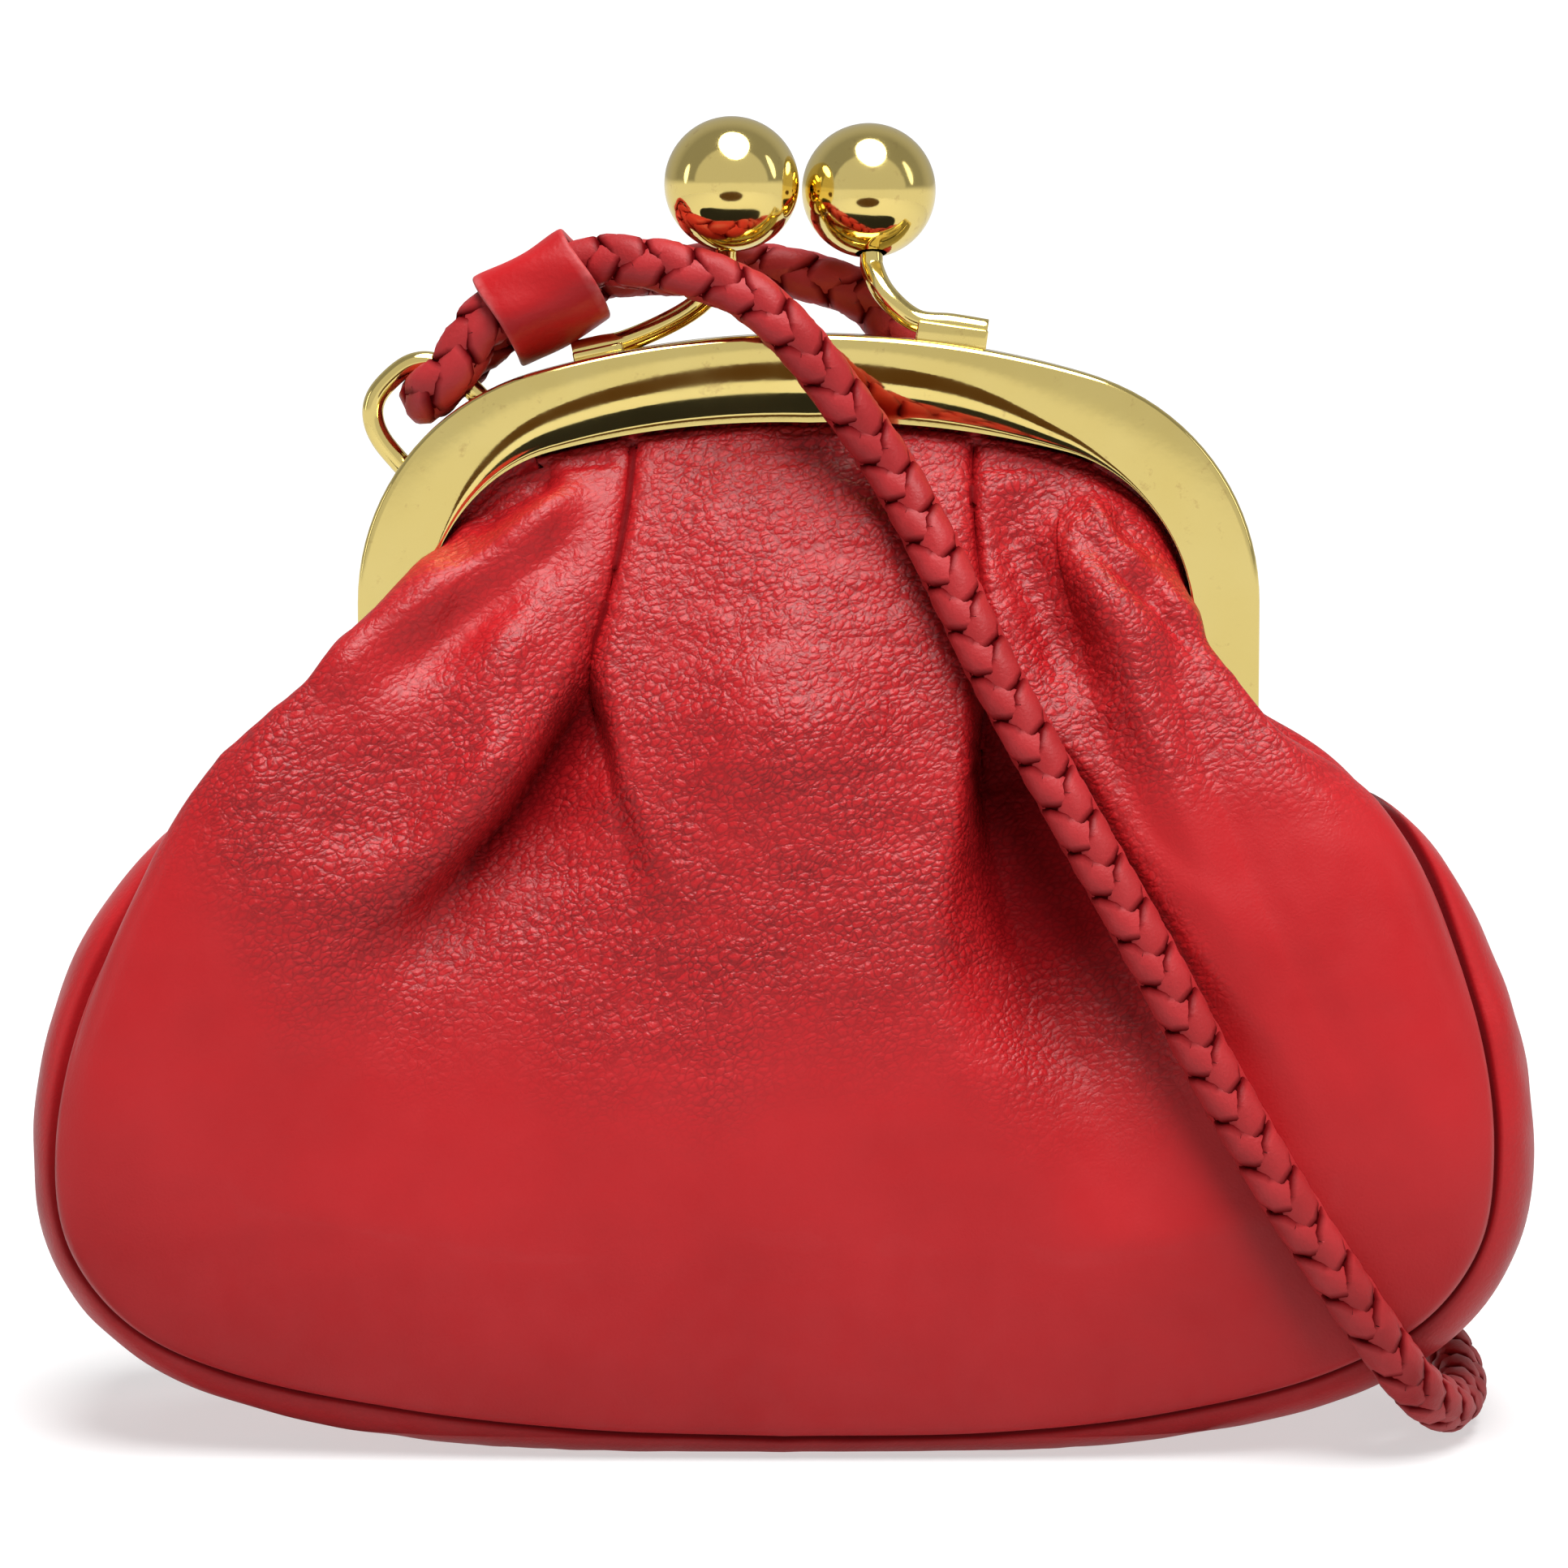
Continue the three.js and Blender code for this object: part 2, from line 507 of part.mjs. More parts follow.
// Strap: its middle line, from the back run inside the keeper, round the ring, through the keeper
// again, down the front, round the lower right corner, up the back and into the keeper's other end
const BIGHT_RADIUS = STRAP_RADIUS + RING_WIRE_RADIUS + 0.7; // of the strap's middle, round the ring's leg
const BIGHT_HEIGHT = 3.3; // of the strap's middle above the frame's edge
const MOUTH = KEEPER_LENGTH / 2 + 1.0;

const lane = (side, along) => new THREE.Vector3(side * KEEPER_LANE, 0, along).applyMatrix4(KEEPER_PLACE);

function bight(degrees) {
  const angle = THREE.MathUtils.degToRad(degrees);
  const u = RING_HALF - BIGHT_RADIUS * Math.cos(angle);
  const place = ringPlace(u, BIGHT_HEIGHT, RING_Y - BIGHT_RADIUS * Math.sin(angle));
  return place.setX(place.x + FRAME_CENTRE_X);
}

const STRAP_ROUTE = [
  lane(-1, -GAP / 2),
  lane(-1, -MOUTH),
  bight(-90),
  bight(-45),
  bight(0),
  bight(45),
  bight(90),
  lane(1, -MOUTH),
  lane(1, 0),
  lane(1, MOUTH),
  new THREE.Vector3(-17.5, -4.2, 136.0),
  new THREE.Vector3(-10.8, -7.0, 134.9),
  new THREE.Vector3(-4.2, -9.0, 132.3),
  new THREE.Vector3(1.2, -10.5, 127.5),
  new THREE.Vector3(6.9, -10.6, 120.2),
  new THREE.Vector3(12.8, -11.2, 111.5),
  new THREE.Vector3(17.4, -14.8, 103.0),
  new THREE.Vector3(24.0, -19.4, 89.4),
  new THREE.Vector3(32.5, -24.0, 74.1),
  new THREE.Vector3(41.1, -27.9, 58.9),
  new THREE.Vector3(48.3, -30.4, 45.4),
  new THREE.Vector3(56.6, -32.1, 31.2),
  new THREE.Vector3(66.0, -30.3, 17.0),
  new THREE.Vector3(71.5, -25.0, 9.2),
  new THREE.Vector3(76.6, -15.0, 4.6),
  new THREE.Vector3(79.6, -2.0, 4.2),
  new THREE.Vector3(79.6, 10.0, 6.0),
  new THREE.Vector3(75.6, 24.2, 10.0),
  new THREE.Vector3(67.0, 31.7, 18.5),
  new THREE.Vector3(54.0, 32.1, 40.0),
  new THREE.Vector3(42.0, 28.3, 63.0),
  new THREE.Vector3(33.0, 23.0, 83.0),
  new THREE.Vector3(24.5, 15.2, 104.0),
  new THREE.Vector3(18.0, 10.8, 118.0),
  new THREE.Vector3(10.5, 10.4, 131.0),
  new THREE.Vector3(3.2, 9.6, 134.2),
  new THREE.Vector3(-5.0, 9.0, 135.4),
  new THREE.Vector3(-14.0, 6.6, 135.0),
  lane(-1, MOUTH),
  lane(-1, GAP / 2),
];
const STRAP_STEPS = 60;

// Tube along the route; its rings turn with the route without twisting.
function strapGeometry() {
  const path = new THREE.CatmullRomCurve3(STRAP_ROUTE, false, "centripetal");
  const across = new THREE.Vector3(0, 0, 1);
  const rings = [];
  const flat = [];
  for (let j = 0; j < STRAP_SIDES; j += 1) {
    const angle = (2 * Math.PI * j) / STRAP_SIDES;
    flat.push(new THREE.Vector2(STRAP_RADIUS * Math.cos(angle), STRAP_RADIUS * Math.sin(angle)));
  }
  for (let k = 0; k <= STRAP_STEPS; k += 1) {
    const middle = path.getPoint(k / STRAP_STEPS);
    const ahead = path.getTangent(k / STRAP_STEPS);
    across.addScaledVector(ahead, -across.dot(ahead)).normalize();
    const other = ahead.clone().cross(across);
    const onRing = ({ x, y }) => middle.clone().addScaledVector(across, x).addScaledVector(other, y);
    rings.push(flat.map(onRing));
  }
  return geometryOf(solid(loftGeometry(rings, flat)));
}

// Leather
const nearHinge = (at) => Math.min(at, 1 - at);
const seamColumn = (name, at) => column(SEAM, name, nearHinge(at));

// The seam's outline in the plane of the frame; near the hinges it is centred on the frame.
function outlineAt(at) {
  const shift = FRAME_CENTRE_X * (1 - smooth(0, HINGE_SHARE, nearHinge(at)));
  return { x: (at < 0.5 ? -1 : 1) * seamColumn("x", at) + shift, z: seamColumn("z", at) };
}

// Seam at a station: its point, the direction out of the pouch in the plane of the outline, and how
// far a flange's middle lies from the seam, so that two slanted flanges still keep the gap.
function seamAt(at) {
  const step = 0.002;
  const [low, high] = [Math.max(at - step, 0), Math.min(at + step, 1)];
  const [a, b] = [outlineAt(low), outlineAt(high)];
  const length = Math.hypot(b.x - a.x, b.z - a.z);
  const slant = (seamColumn("halfDepth", high) - seamColumn("halfDepth", low)) / length;
  const ease = HINGE_EASE * (1 - smooth(0, HINGE_SHARE, nearHinge(at)));
  return {
    ...outlineAt(at),
    outX: (b.z - a.z) / length,
    outZ: -(b.x - a.x) / length,
    halfDepth: seamColumn("halfDepth", at),
    swell: seamColumn("swell", at),
    flange: ((GAP + LEATHER) / 2) * Math.hypot(1, slant) + ease,
  };
}

// Where a dart's line lies at a place on the rib.
const dartLine = (dart, v) => column(dart.valley, "line", Math.min(v, dart.valley.at(-1).at));

function dartDepth(at, v) {
  let depth = 0;
  for (const dart of DARTS) {
    const offset = (at - dartLine(dart, v)) * dart.outside;
    const sewn = smooth(0, 0.08, v) * (1 - smooth(dart.sewnEnd, dart.sewnEnd + 0.06, v));
    depth += DART_GROOVE.depth * sewn * Math.exp(-((offset / DART_GROOVE.halfWidth) ** 2));
    const width = column(dart.valley, "width", Math.min(v, dart.valley.at(-1).at));
    const inner = smooth(-DART_WALL, 0, offset);
    const outer = 1 - smooth(0.3 * width, width, offset);
    const open = smooth(dart.sewnEnd - 0.03, dart.sewnEnd, v) * (1 - smooth(0.7, 0.8, v));
    depth += Math.max(column(dart.valley, "depth", v), 0) * open * inner * outer;
  }
  return depth;
}

function swellHeight(at, v) {
  let height = 0;
  for (const swell of SWELLS) {
    const across = (at - swell.at) / swell.spread;
    const along = (v - swell.along) / swell.length;
    height += swell.height * Math.exp(-across * across - along * along);
  }
  return height * smooth(0, 0.12, v);
}

// The rib at a station: its cubic curve and the places from which its ends are drawn. The back panel's
// left shoulder is as plain as its right one.
function ribAt(at, isFront) {
  const edge = frameEdge(THREE.MathUtils.lerp(MOUTH_TRIM, 1 - MOUTH_TRIM, at));
  const width = bandWidth(THREE.MathUtils.lerp(MOUTH_TRIM, 1 - MOUTH_TRIM, at));
  const seam = seamAt(at);
  const mouthY = FRAME_HALF_GAP + FRAME_SHEET + GRIP_EASE + LEATHER / 2;
  const flangeY = seam.halfDepth + seam.flange;
  const into = (d, y) => new THREE.Vector3(FRAME_CENTRE_X + edge.x + edge.inX * d, -y, edge.z + edge.inZ * d);
  const fromSeam = (o, y) => new THREE.Vector3(seam.x + seam.outX * o, -y, seam.z + seam.outZ * o);
  const rib = (name) => column(RIBS, name, isFront ? at : Math.max(at, 1 - at));
  const [reach, crown, roll] = [rib("reach"), rib("crown"), SEAM_ROLL_RADIUS];
  const turn = Math.atan2(crown, Math.max(reach, 0.1));
  const start = into(width + GRIP_EASE, mouthY);
  const first = into(width + GRIP_EASE + rib("launch"), mouthY + rib("forward"));
  first.z += rib("rise");
  const end = fromSeam(roll * Math.sin(turn) - roll, flangeY + roll + roll * Math.cos(turn));
  const handle = new THREE.Vector3(-seam.outX * reach, -crown, -seam.outZ * reach + rib("lift"));
  const curve = new THREE.CubicBezierCurve3(start, first, end.clone().add(handle), end);
  return { curve, into, fromSeam, width, mouthY, flangeY, turn };
}

// Grid lines near a dart lean with it.
function leaned(at, v) {
  let moved = at;
  for (const dart of DARTS) {
    const mouth = dartLine(dart, 0);
    const near = Math.exp(-(((at - mouth) / 0.05) ** 2));
    moved += (dartLine(dart, v) - mouth) * near * (1 - smooth(0.8, 1, v));
  }
  return moved;
}

// Middle surface of a panel along one grid line, from the grip in the channel to the seam's flange.
function panelLine(at, isFront) {
  const rib = ribAt(at, isFront);
  const points = [rib.into(rib.width - GRIP, rib.mouthY), rib.curve.getPoint(0)];
  for (const v of RIB_STEPS) {
    const here = leaned(at, v);
    const p = ribAt(here, isFront).curve.getPoint(v);
    p.y += (dartDepth(here, v) - swellHeight(here, v)) * (1 - smooth(0.85, 1, v));
    points.push(p);
  }
  const rollSteps = 3;
  const roll = SEAM_ROLL_RADIUS;
  for (let k = 1; k <= rollSteps; k += 1) {
    const angle = THREE.MathUtils.lerp(rib.turn, Math.PI, k / rollSteps);
    points.push(rib.fromSeam(roll * Math.sin(angle) - roll, rib.flangeY + roll + roll * Math.cos(angle)));
  }
  points.push(rib.fromSeam(-roll - SEAM_FLANGE, rib.flangeY));
  return points;
}

// Offsets a grid of middle points by a distance along its own normals.
function offsetGrid(grid, distance) {
  const rows = grid.length;
  const columns = grid[0].length;
  return grid.map((row, i) =>
    row.map((p, j) => {
      const along = grid[Math.min(i + 1, rows - 1)][j].clone().sub(grid[Math.max(i - 1, 0)][j]);
      const before = row[Math.max(j - 1, 0)];
      const after = row[Math.min(j + 1, columns - 1)];
      const normal = along.cross(after.clone().sub(before)).normalize();
      return p.clone().addScaledVector(normal, distance);
    }),
  );
}

function panelStations() {
  const stations = [];
  for (let k = 0; k <= LEATHER_STATIONS; k += 1) stations.push(k / LEATHER_STATIONS);
  const nearDart = (at) => DARTS.some((dart) => Math.abs(at - dartLine(dart, 0)) < 0.07);
  const kept = stations.filter((at) => !nearDart(at));
  const atDart = (dart) => DART_STATIONS.map((step) => dartLine(dart, 0) + dart.outside * step);
  kept.push(...DARTS.flatMap(atDart));
  return kept.sort((a, b) => a - b);
}

function panelGeometry(side) {
  const grid = panelStations().map((at) => panelLine(at, side < 0));
  const mirrored = (p) => new THREE.Vector3(p.x, -side * p.y, p.z);
  const outer = offsetGrid(grid, LEATHER / 2).map((row) => row.map(mirrored));
  const inner = offsetGrid(grid, -LEATHER / 2).map((row) => row.map(mirrored));
  return geometryOf(solid(wallGeometry(outer, inner)));
}

const GUSSET_ARCH_STEPS = 8;
const GUSSET_SQUARENESS = 0.5; // below 1 the swell is boxy, as a strip held at two seams is

function gussetSection(at) {
  const seam = seamAt(at);
  const halfY = seam.halfDepth - seam.flange;
  const point = (o, y) => new THREE.Vector3(seam.x + seam.outX * o, y, seam.z + seam.outZ * o);
  const inside = -SEAM_ROLL_RADIUS - SEAM_FLANGE;
  const points = [point(inside, -halfY)];
  for (let k = 0; k <= GUSSET_ARCH_STEPS; k += 1) {
    const angle = (Math.PI * k) / GUSSET_ARCH_STEPS;
    const y = -halfY * Math.sign(Math.cos(angle)) * Math.abs(Math.cos(angle)) ** GUSSET_SQUARENESS;
    const o = -SEAM_ROLL_RADIUS + (seam.swell + SEAM_ROLL_RADIUS) * Math.sin(angle) ** GUSSET_SQUARENESS;
    points.push(point(o, y));
  }
  points.push(point(inside, halfY));
  return points;
}

function gussetGeometry() {
  const grid = [];
  for (let k = 0; k <= LEATHER_STATIONS; k += 1) grid.push(gussetSection(k / LEATHER_STATIONS));
  // The leather lies flat where the purse stands on it.
  const flattened = (p, floor) => new THREE.Vector3(p.x, p.y, Math.max(p.z, floor));
  const outer = offsetGrid(grid, -LEATHER / 2).map((row) => row.map((p) => flattened(p, 0)));
  const inner = offsetGrid(grid, LEATHER / 2).map((row) => row.map((p) => flattened(p, LEATHER)));
  return geometryOf(solid(wallGeometry(outer, inner)));
}

// Materials
const leather = new THREE.MeshStandardMaterial({ color: 0xb4262b, roughness: 0.5, metalness: 0 });
const gold = new THREE.MeshStandardMaterial({ color: 0xd9bd6a, roughness: 0.18, metalness: 1 });

function piece(name, geometry, material) {
  const mesh = new THREE.Mesh(geometry, material);
  mesh.name = name;
  return mesh;
}

// Assembly
const purse = new THREE.Group();

const frame = new THREE.Group();
frame.position.x = FRAME_CENTRE_X;
const front = frameHalf("front_frame", -1, HINGE_TAB_INSET.front, ARMS.front);
const back = frameHalf("back_frame", 1, HINGE_TAB_INSET.back, ARMS.back);
back.made = back.made.subtract(solid(ringGeometry(GAP)));
for (const half of [front, back]) frame.add(piece(half.name, geometryOf(half.made), gold));
frame.add(piece("front_ball", ballGeometry(ARMS.front), gold));
frame.add(piece("back_ball", ballGeometry(ARMS.back), gold));
frame.add(piece("left_rivet", rivetGeometry(-1), gold));
frame.add(piece("right_rivet", rivetGeometry(1), gold));
frame.add(piece("strap_ring", ringGeometry(0), gold));
purse.add(frame);

purse.add(piece("front_panel", panelGeometry(-1), leather));
purse.add(piece("back_panel", panelGeometry(1), leather));
purse.add(piece("gusset", gussetGeometry(), leather));

purse.add(piece("strap", strapGeometry(), leather));
purse.add(piece("strap_keeper", keeperGeometry(), leather));

export default purse;
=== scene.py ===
# %% [markdown]
# # A red leather purse with a gold snap frame
# The real purse is a soft pouch of two pleated leather panels and a gusset, gripped in a bent gold
# frame that snaps shut with two balls, with a braided wrist strap through a ring on its shoulder.
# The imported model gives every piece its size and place. This lesson dresses it: each step makes one
# piece the way it could be made by hand in Blender, and then gives it its finish.

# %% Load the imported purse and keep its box
import math

import bpy
import numpy as np
from mathutils import Matrix, Vector


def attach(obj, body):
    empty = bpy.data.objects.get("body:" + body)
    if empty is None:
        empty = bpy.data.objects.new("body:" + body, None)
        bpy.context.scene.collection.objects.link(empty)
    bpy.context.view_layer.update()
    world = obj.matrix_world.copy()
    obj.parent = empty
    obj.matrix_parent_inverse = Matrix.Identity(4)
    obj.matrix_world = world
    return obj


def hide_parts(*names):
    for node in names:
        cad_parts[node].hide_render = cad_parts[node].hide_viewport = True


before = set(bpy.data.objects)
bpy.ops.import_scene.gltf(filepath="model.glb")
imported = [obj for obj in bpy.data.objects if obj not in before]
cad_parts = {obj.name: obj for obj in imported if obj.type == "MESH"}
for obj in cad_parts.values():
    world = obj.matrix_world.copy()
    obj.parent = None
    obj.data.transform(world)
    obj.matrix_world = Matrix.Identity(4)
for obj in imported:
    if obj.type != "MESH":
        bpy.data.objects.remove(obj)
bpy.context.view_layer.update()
bpy.ops.object.select_all(action="DESELECT")
MM = 0.001
print("nodes:", ", ".join(sorted(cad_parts)))

# %% [markdown]
# ## Camera
# The photograph looks at the front from a little above, with a long lens, so the purse is hardly
# narrower at the back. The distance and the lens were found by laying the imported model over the
# photograph until the frame, the balls and the bottom seam agreed.

# %% Place the camera
EYE_DISTANCE = 650 * MM
EYE_RISE = math.radians(5.5)
LOOK_AT = Vector((0, 0, 75.2 * MM))
eye = LOOK_AT + EYE_DISTANCE * Vector((0, -math.cos(EYE_RISE), math.sin(EYE_RISE)))
bpy.ops.object.camera_add(location=eye, rotation=(math.pi / 2 - EYE_RISE, 0, 0))
camera = bpy.context.object
camera.data.sensor_width = 36
camera.data.lens = 127.5
camera.data.clip_start = 0.01
bpy.context.scene.camera = camera
print("camera at", [round(c, 4) for c in camera.location])

# %% [markdown]
# ## Floor and studio light
# The purse stands on white paper under one wide soft panel overhead, so the tops of the folds shine and
# the floor only darkens close to the leather. Weaker lamps fill the front and the back, kept out of the
# metal's mirror, and a narrow panel stands on each side. Polished metal shows what stands round it, so a
# room of pale and dim walls is painted on a globe round the purse, and dark cards lie on the floor for
# the lines in the frame's roll. Only mirror rays see the globe and the cards. The paper is laid twice:
# one sheet is what the camera sees, and a greyer one is what throws light back up at the leather.

# %% Lay the white paper, with a white bowl far round it
def paper_white(name, light, colour):
    """Dull paper with some light of its own; its colour is one share of white, or red, green and blue."""
    made = bpy.data.materials.new(name)
    made.use_nodes = True
    shader = made.node_tree.nodes["Principled BSDF"]
    red, green, blue = colour if isinstance(colour, tuple) else (colour,) * 3
    shader.inputs["Base Color"].default_value = (red, green, blue, 1)
    shader.inputs["Roughness"].default_value = 0.9
    shader.inputs["Specular IOR Level"].default_value = 0.1
    shader.inputs["Emission Color"].default_value = (1, 1, 1, 1)
    shader.inputs["Emission Strength"].default_value = light
    return made


def seen_only_by(made, **rays):
    """Keeps a stage piece out of all rays but the named ones."""
    for ray in ("camera", "diffuse", "glossy", "transmission", "volume_scatter", "shadow"):
        setattr(made, f"visible_{ray}", rays.get(ray, False))


def lay_paper(name, depth, light, white, **rays):
    bpy.ops.mesh.primitive_circle_add(vertices=96, radius=0.6, fill_type="NGON", location=(0, 0, depth))
    made = bpy.context.object
    made.name = name
    made.data.materials.append(paper_white(name, light, white))
    seen_only_by(made, **rays)
    return made


paper = lay_paper("white_paper", 0.0, 0.56, 0.5, camera=True)
lay_paper("grey_paper", -0.0005, 0.28, 0.44, diffuse=True, glossy=True)
bpy.ops.mesh.primitive_uv_sphere_add(segments=48, ring_count=24, radius=8)
bowl = bpy.context.object
bowl.name = "white_bowl"
bowl.data.materials.append(paper_white("bowl_white", 1.1, 0.9))
seen_only_by(bowl, camera=True)
bpy.context.scene.view_settings.view_transform = "Standard"
world = bpy.data.worlds.new("studio")
bpy.context.scene.world = world
world.use_nodes = True
world.node_tree.nodes["Background"].inputs["Color"].default_value = (1, 1, 1, 1)
world.node_tree.nodes["Background"].inputs["Strength"].default_value = 0.05
print("paper", tuple(round(d, 2) for d in paper.dimensions))


# %% Hang the soft lights
def soft_light(name, place, size, power):
    bpy.ops.object.light_add(type="AREA", location=place)
    made = bpy.context.object
    made.name = name
    made.data.shape = "ELLIPSE"
    made.data.size, made.data.size_y = size
    made.data.energy = power
    made.rotation_euler = (LOOK_AT - Vector(place)).to_track_quat("-Z", "Y").to_euler()
    made.visible_camera = False
    return made


lights = [
    soft_light("top_panel", (0.07, -0.4, 1.2), (0.85, 1.2), 23.5),
    soft_light("front_fill", (0.2, -0.8, 0.95), (0.5, 0.4), 3.0),
    soft_light("right_strip", (1.1, -0.2, 0.62), (0.22, 0.7), 0.7),
    soft_light("left_strip", (-1.15, -0.1, 0.4), (0.18, 0.5), 0.5),
    soft_light("back_fill", (-0.2, 1.0, 1.0), (0.9, 0.6), 3.0),
]
for fill in (lights[1], lights[4]):
    fill.visible_glossy = False
print("lights", [light.name for light in lights])


# %% Paint the globe and lay the dark cards that the metal mirrors
bpy.ops.mesh.primitive_uv_sphere_add(segments=48, ring_count=24, radius=2.2)
globe = bpy.context.object
globe.name = "painted_globe"
walls = paper_white("globe_walls", 1.0, 0.0)
tree = walls.node_tree
side = tree.nodes.new("ShaderNodeSeparateXYZ")
tree.links.new(tree.nodes.new("ShaderNodeTexCoord").outputs["Object"], side.inputs[0])


def painted(value, low, high, to_low, to_high):
    """Eases from one brightness to another between two places on the globe."""
    node = tree.nodes.new("ShaderNodeMapRange")
    node.interpolation_type = "SMOOTHSTEP"
    tree.links.new(value, node.inputs["Value"])
    for name, amount in zip(("From Min", "From Max", "To Min", "To Max"), (low, high, to_low, to_high)):
        node.inputs[name].default_value = amount
    return node.outputs["Result"]


def taken(operation, first, second):
    node = tree.nodes.new("ShaderNodeMath")
    node.operation = operation
    tree.links.new(first, node.inputs[0])
    tree.links.new(second, node.inputs[1])
    return node.outputs[0]


front_wall = painted(side.outputs["Y"], -0.98, -0.72, 0.62, 0.08)
room = taken("MAXIMUM", front_wall, painted(side.outputs["Y"], -0.5, 1.4, 0.08, 0.45))
wall_light = taken("MAXIMUM", room, painted(side.outputs["Z"], 0.1, 0.4, 0.85, 0.3))
tree.links.new(wall_light, tree.nodes["Principled BSDF"].inputs["Emission Strength"])
globe.data.materials.append(walls)
seen_only_by(globe, glossy=True)


def mirror_card(name, near, far, half_width, x, colour):
    middle = (x, -(near + far) / 2, 0.002)
    bpy.ops.mesh.primitive_circle_add(vertices=48, radius=1, fill_type="NGON", location=middle)
    made = bpy.context.object
    made.name = name
    made.scale = (half_width, (far - near) / 2, 1)
    bpy.ops.object.transform_apply(location=True, scale=True)
    made.data.materials.append(paper_white(name, 0.0, colour))
    seen_only_by(made, glossy=True)
    return made


cards = [
    mirror_card("near_card", 0.01, 0.155, 0.16, -0.02, 0.01),
    mirror_card("far_card", 0.25, 0.62, 0.15, -0.01, (0.05, 0.02, 0.002)),
]
print("cards", [card.name for card in cards])

# %% [markdown]
# ## Helpers for soft things
# Leather, laces and the sleeve all start as Blender's flat grid. Each vertex is then moved to where
# a small rule puts it, which is how a pattern cutter thinks: so far along the edge, so far down. A
# smooth curve through a short table of sizes does the rest.

# %% Smooth steps, curves through tables, and shaped grids
def smooth(low, high, x):
    t = np.clip((x - low) / (high - low), 0, 1)
    return t * t * (3 - 2 * t)


def through(table, row, at):
    """Smooth curve through one row of a table; the first row of the table says where."""
    where, value = np.array(table[0], float), np.array(table[row], float)
    slope = np.diff(value) / np.diff(where)
    tangent = np.concatenate([slope[:1], (slope[1:] + slope[:-1]) / 2, slope[-1:]])
    at = np.asarray(at, float)
    i = np.clip(np.searchsorted(where, at, side="left") - 1, 0, len(where) - 2)
    span = where[i + 1] - where[i]
    s = np.clip((at - where[i]) / span, 0, 1)
    return (
        (2 * s**3 - 3 * s**2 + 1) * value[i]
        + (s**3 - 2 * s**2 + s) * span * tangent[i]
        + (3 * s**2 - 2 * s**3) * value[i + 1]
        + (s**3 - s**2) * span * tangent[i + 1]
    )


def shaped_grid(name, across, along, place):
    """Adds a flat grid and moves each vertex to place(u, v), in millimetres; u and v run from 0 to 1."""
    bpy.ops.mesh.primitive_grid_add(x_subdivisions=across, y_subdivisions=along, size=2)
    made = bpy.context.object
    made.name = name
    flat = np.empty(len(made.data.vertices) * 3)
    made.data.vertices.foreach_get("co", flat)
    u, v = (flat.reshape(-1, 3)[:, :2].T + 1) / 2
    made.data.vertices.foreach_set("co", (place(u, v) * MM).ravel())
    made.data.update()
    return made


def points_of(made):
    """The piece's vertices, in millimetres."""
    flat = np.empty(len(made.data.vertices) * 3)
    made.data.vertices.foreach_get("co", flat)
    return flat.reshape(-1, 3) / MM


def paint(made, label, values):
    """Keeps one number on each vertex, for a finish to read."""
    made.data.attributes.new(label, "FLOAT", "POINT")
    made.data.attributes[label].data.foreach_set("value", values)


def pick(made, *others):
    """Selects these pieces alone, the first one as the active one."""
    bpy.ops.object.select_all(action="DESELECT")
    for piece in (made, *others):
        piece.select_set(True)
    bpy.context.view_layer.objects.active = made


def in_edit_mode(made, *steps):
    """Runs edit-mode steps on everything in one piece."""
    pick(made)
    bpy.ops.object.mode_set(mode="EDIT")
    bpy.ops.mesh.select_all(action="SELECT")
    for step in steps:
        step()
    bpy.ops.object.mode_set(mode="OBJECT")
    return made


def weld():
    bpy.ops.mesh.remove_doubles(threshold=1e-6)


def fill_ends():
    bpy.ops.mesh.fill_holes(sides=0)


def face_outward():
    bpy.ops.mesh.normals_make_consistent(inside=False)


def apply_modifier(made, kind, **settings):
    pick(made)
    added = made.modifiers.new(kind.title(), kind)
    for key, value in settings.items():
        setattr(added, key, value)
    bpy.ops.object.modifier_apply(modifier=added.name)


print("a smooth step half way:", float(smooth(0, 1, 0.5)))

# %% [markdown]
# ## The strap's route
# The wrist strap is one closed loop of braid. It starts in the sleeve on the shoulder, goes round the
# wire ring, comes back through the sleeve, hangs down the front, turns under the lower right corner
# and climbs the back to the sleeve again. The route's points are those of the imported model, so the
# braid lies where the collision model has it.

# %% Points of the route
FRAME_X = 2.85
CORNER_RADIUS = 27.5
HALF_WIDTH = 52.15
TOP_RADIUS = 116.0
TOP_Z = 127.8
CORNER_X = HALF_WIDTH - CORNER_RADIUS
TOP_CENTRE_Z = TOP_Z - TOP_RADIUS
TOP_SPAN = math.asin(CORNER_X / (TOP_RADIUS - CORNER_RADIUS))
CORNER_Z = TOP_CENTRE_Z + (TOP_RADIUS - CORNER_RADIUS) * math.cos(TOP_SPAN)
RING_ANGLE = math.radians(-43)
RING_HALF = 6.0
RING_Y = 2.5
RING_WIRE = 1.25
RING_HIGH = 7.7
BIGHT_RADIUS = 4.55
BIGHT_HIGH = 3.3
LANE_OFF = 3.1
KEEPER_PLACE = (
    Matrix.Translation((-27.8, 0.7, 131.9))
    @ Matrix.Rotation(math.radians(90 - 28), 4, "Y")
    @ Matrix.Rotation(math.radians(-90 - 16), 4, "Z")
)


def ring_place(u, h, y):
    lean_x, lean_z = math.sin(RING_ANGLE), math.cos(RING_ANGLE)
    out = CORNER_RADIUS + h
    return (FRAME_X - CORNER_X + lean_z * u + lean_x * out, y, CORNER_Z - lean_x * u + lean_z * out)


def bight(degrees):
    turn = math.radians(degrees)
    across = RING_HALF - BIGHT_RADIUS * math.cos(turn)
    return ring_place(across, BIGHT_HIGH, RING_Y - BIGHT_RADIUS * math.sin(turn))


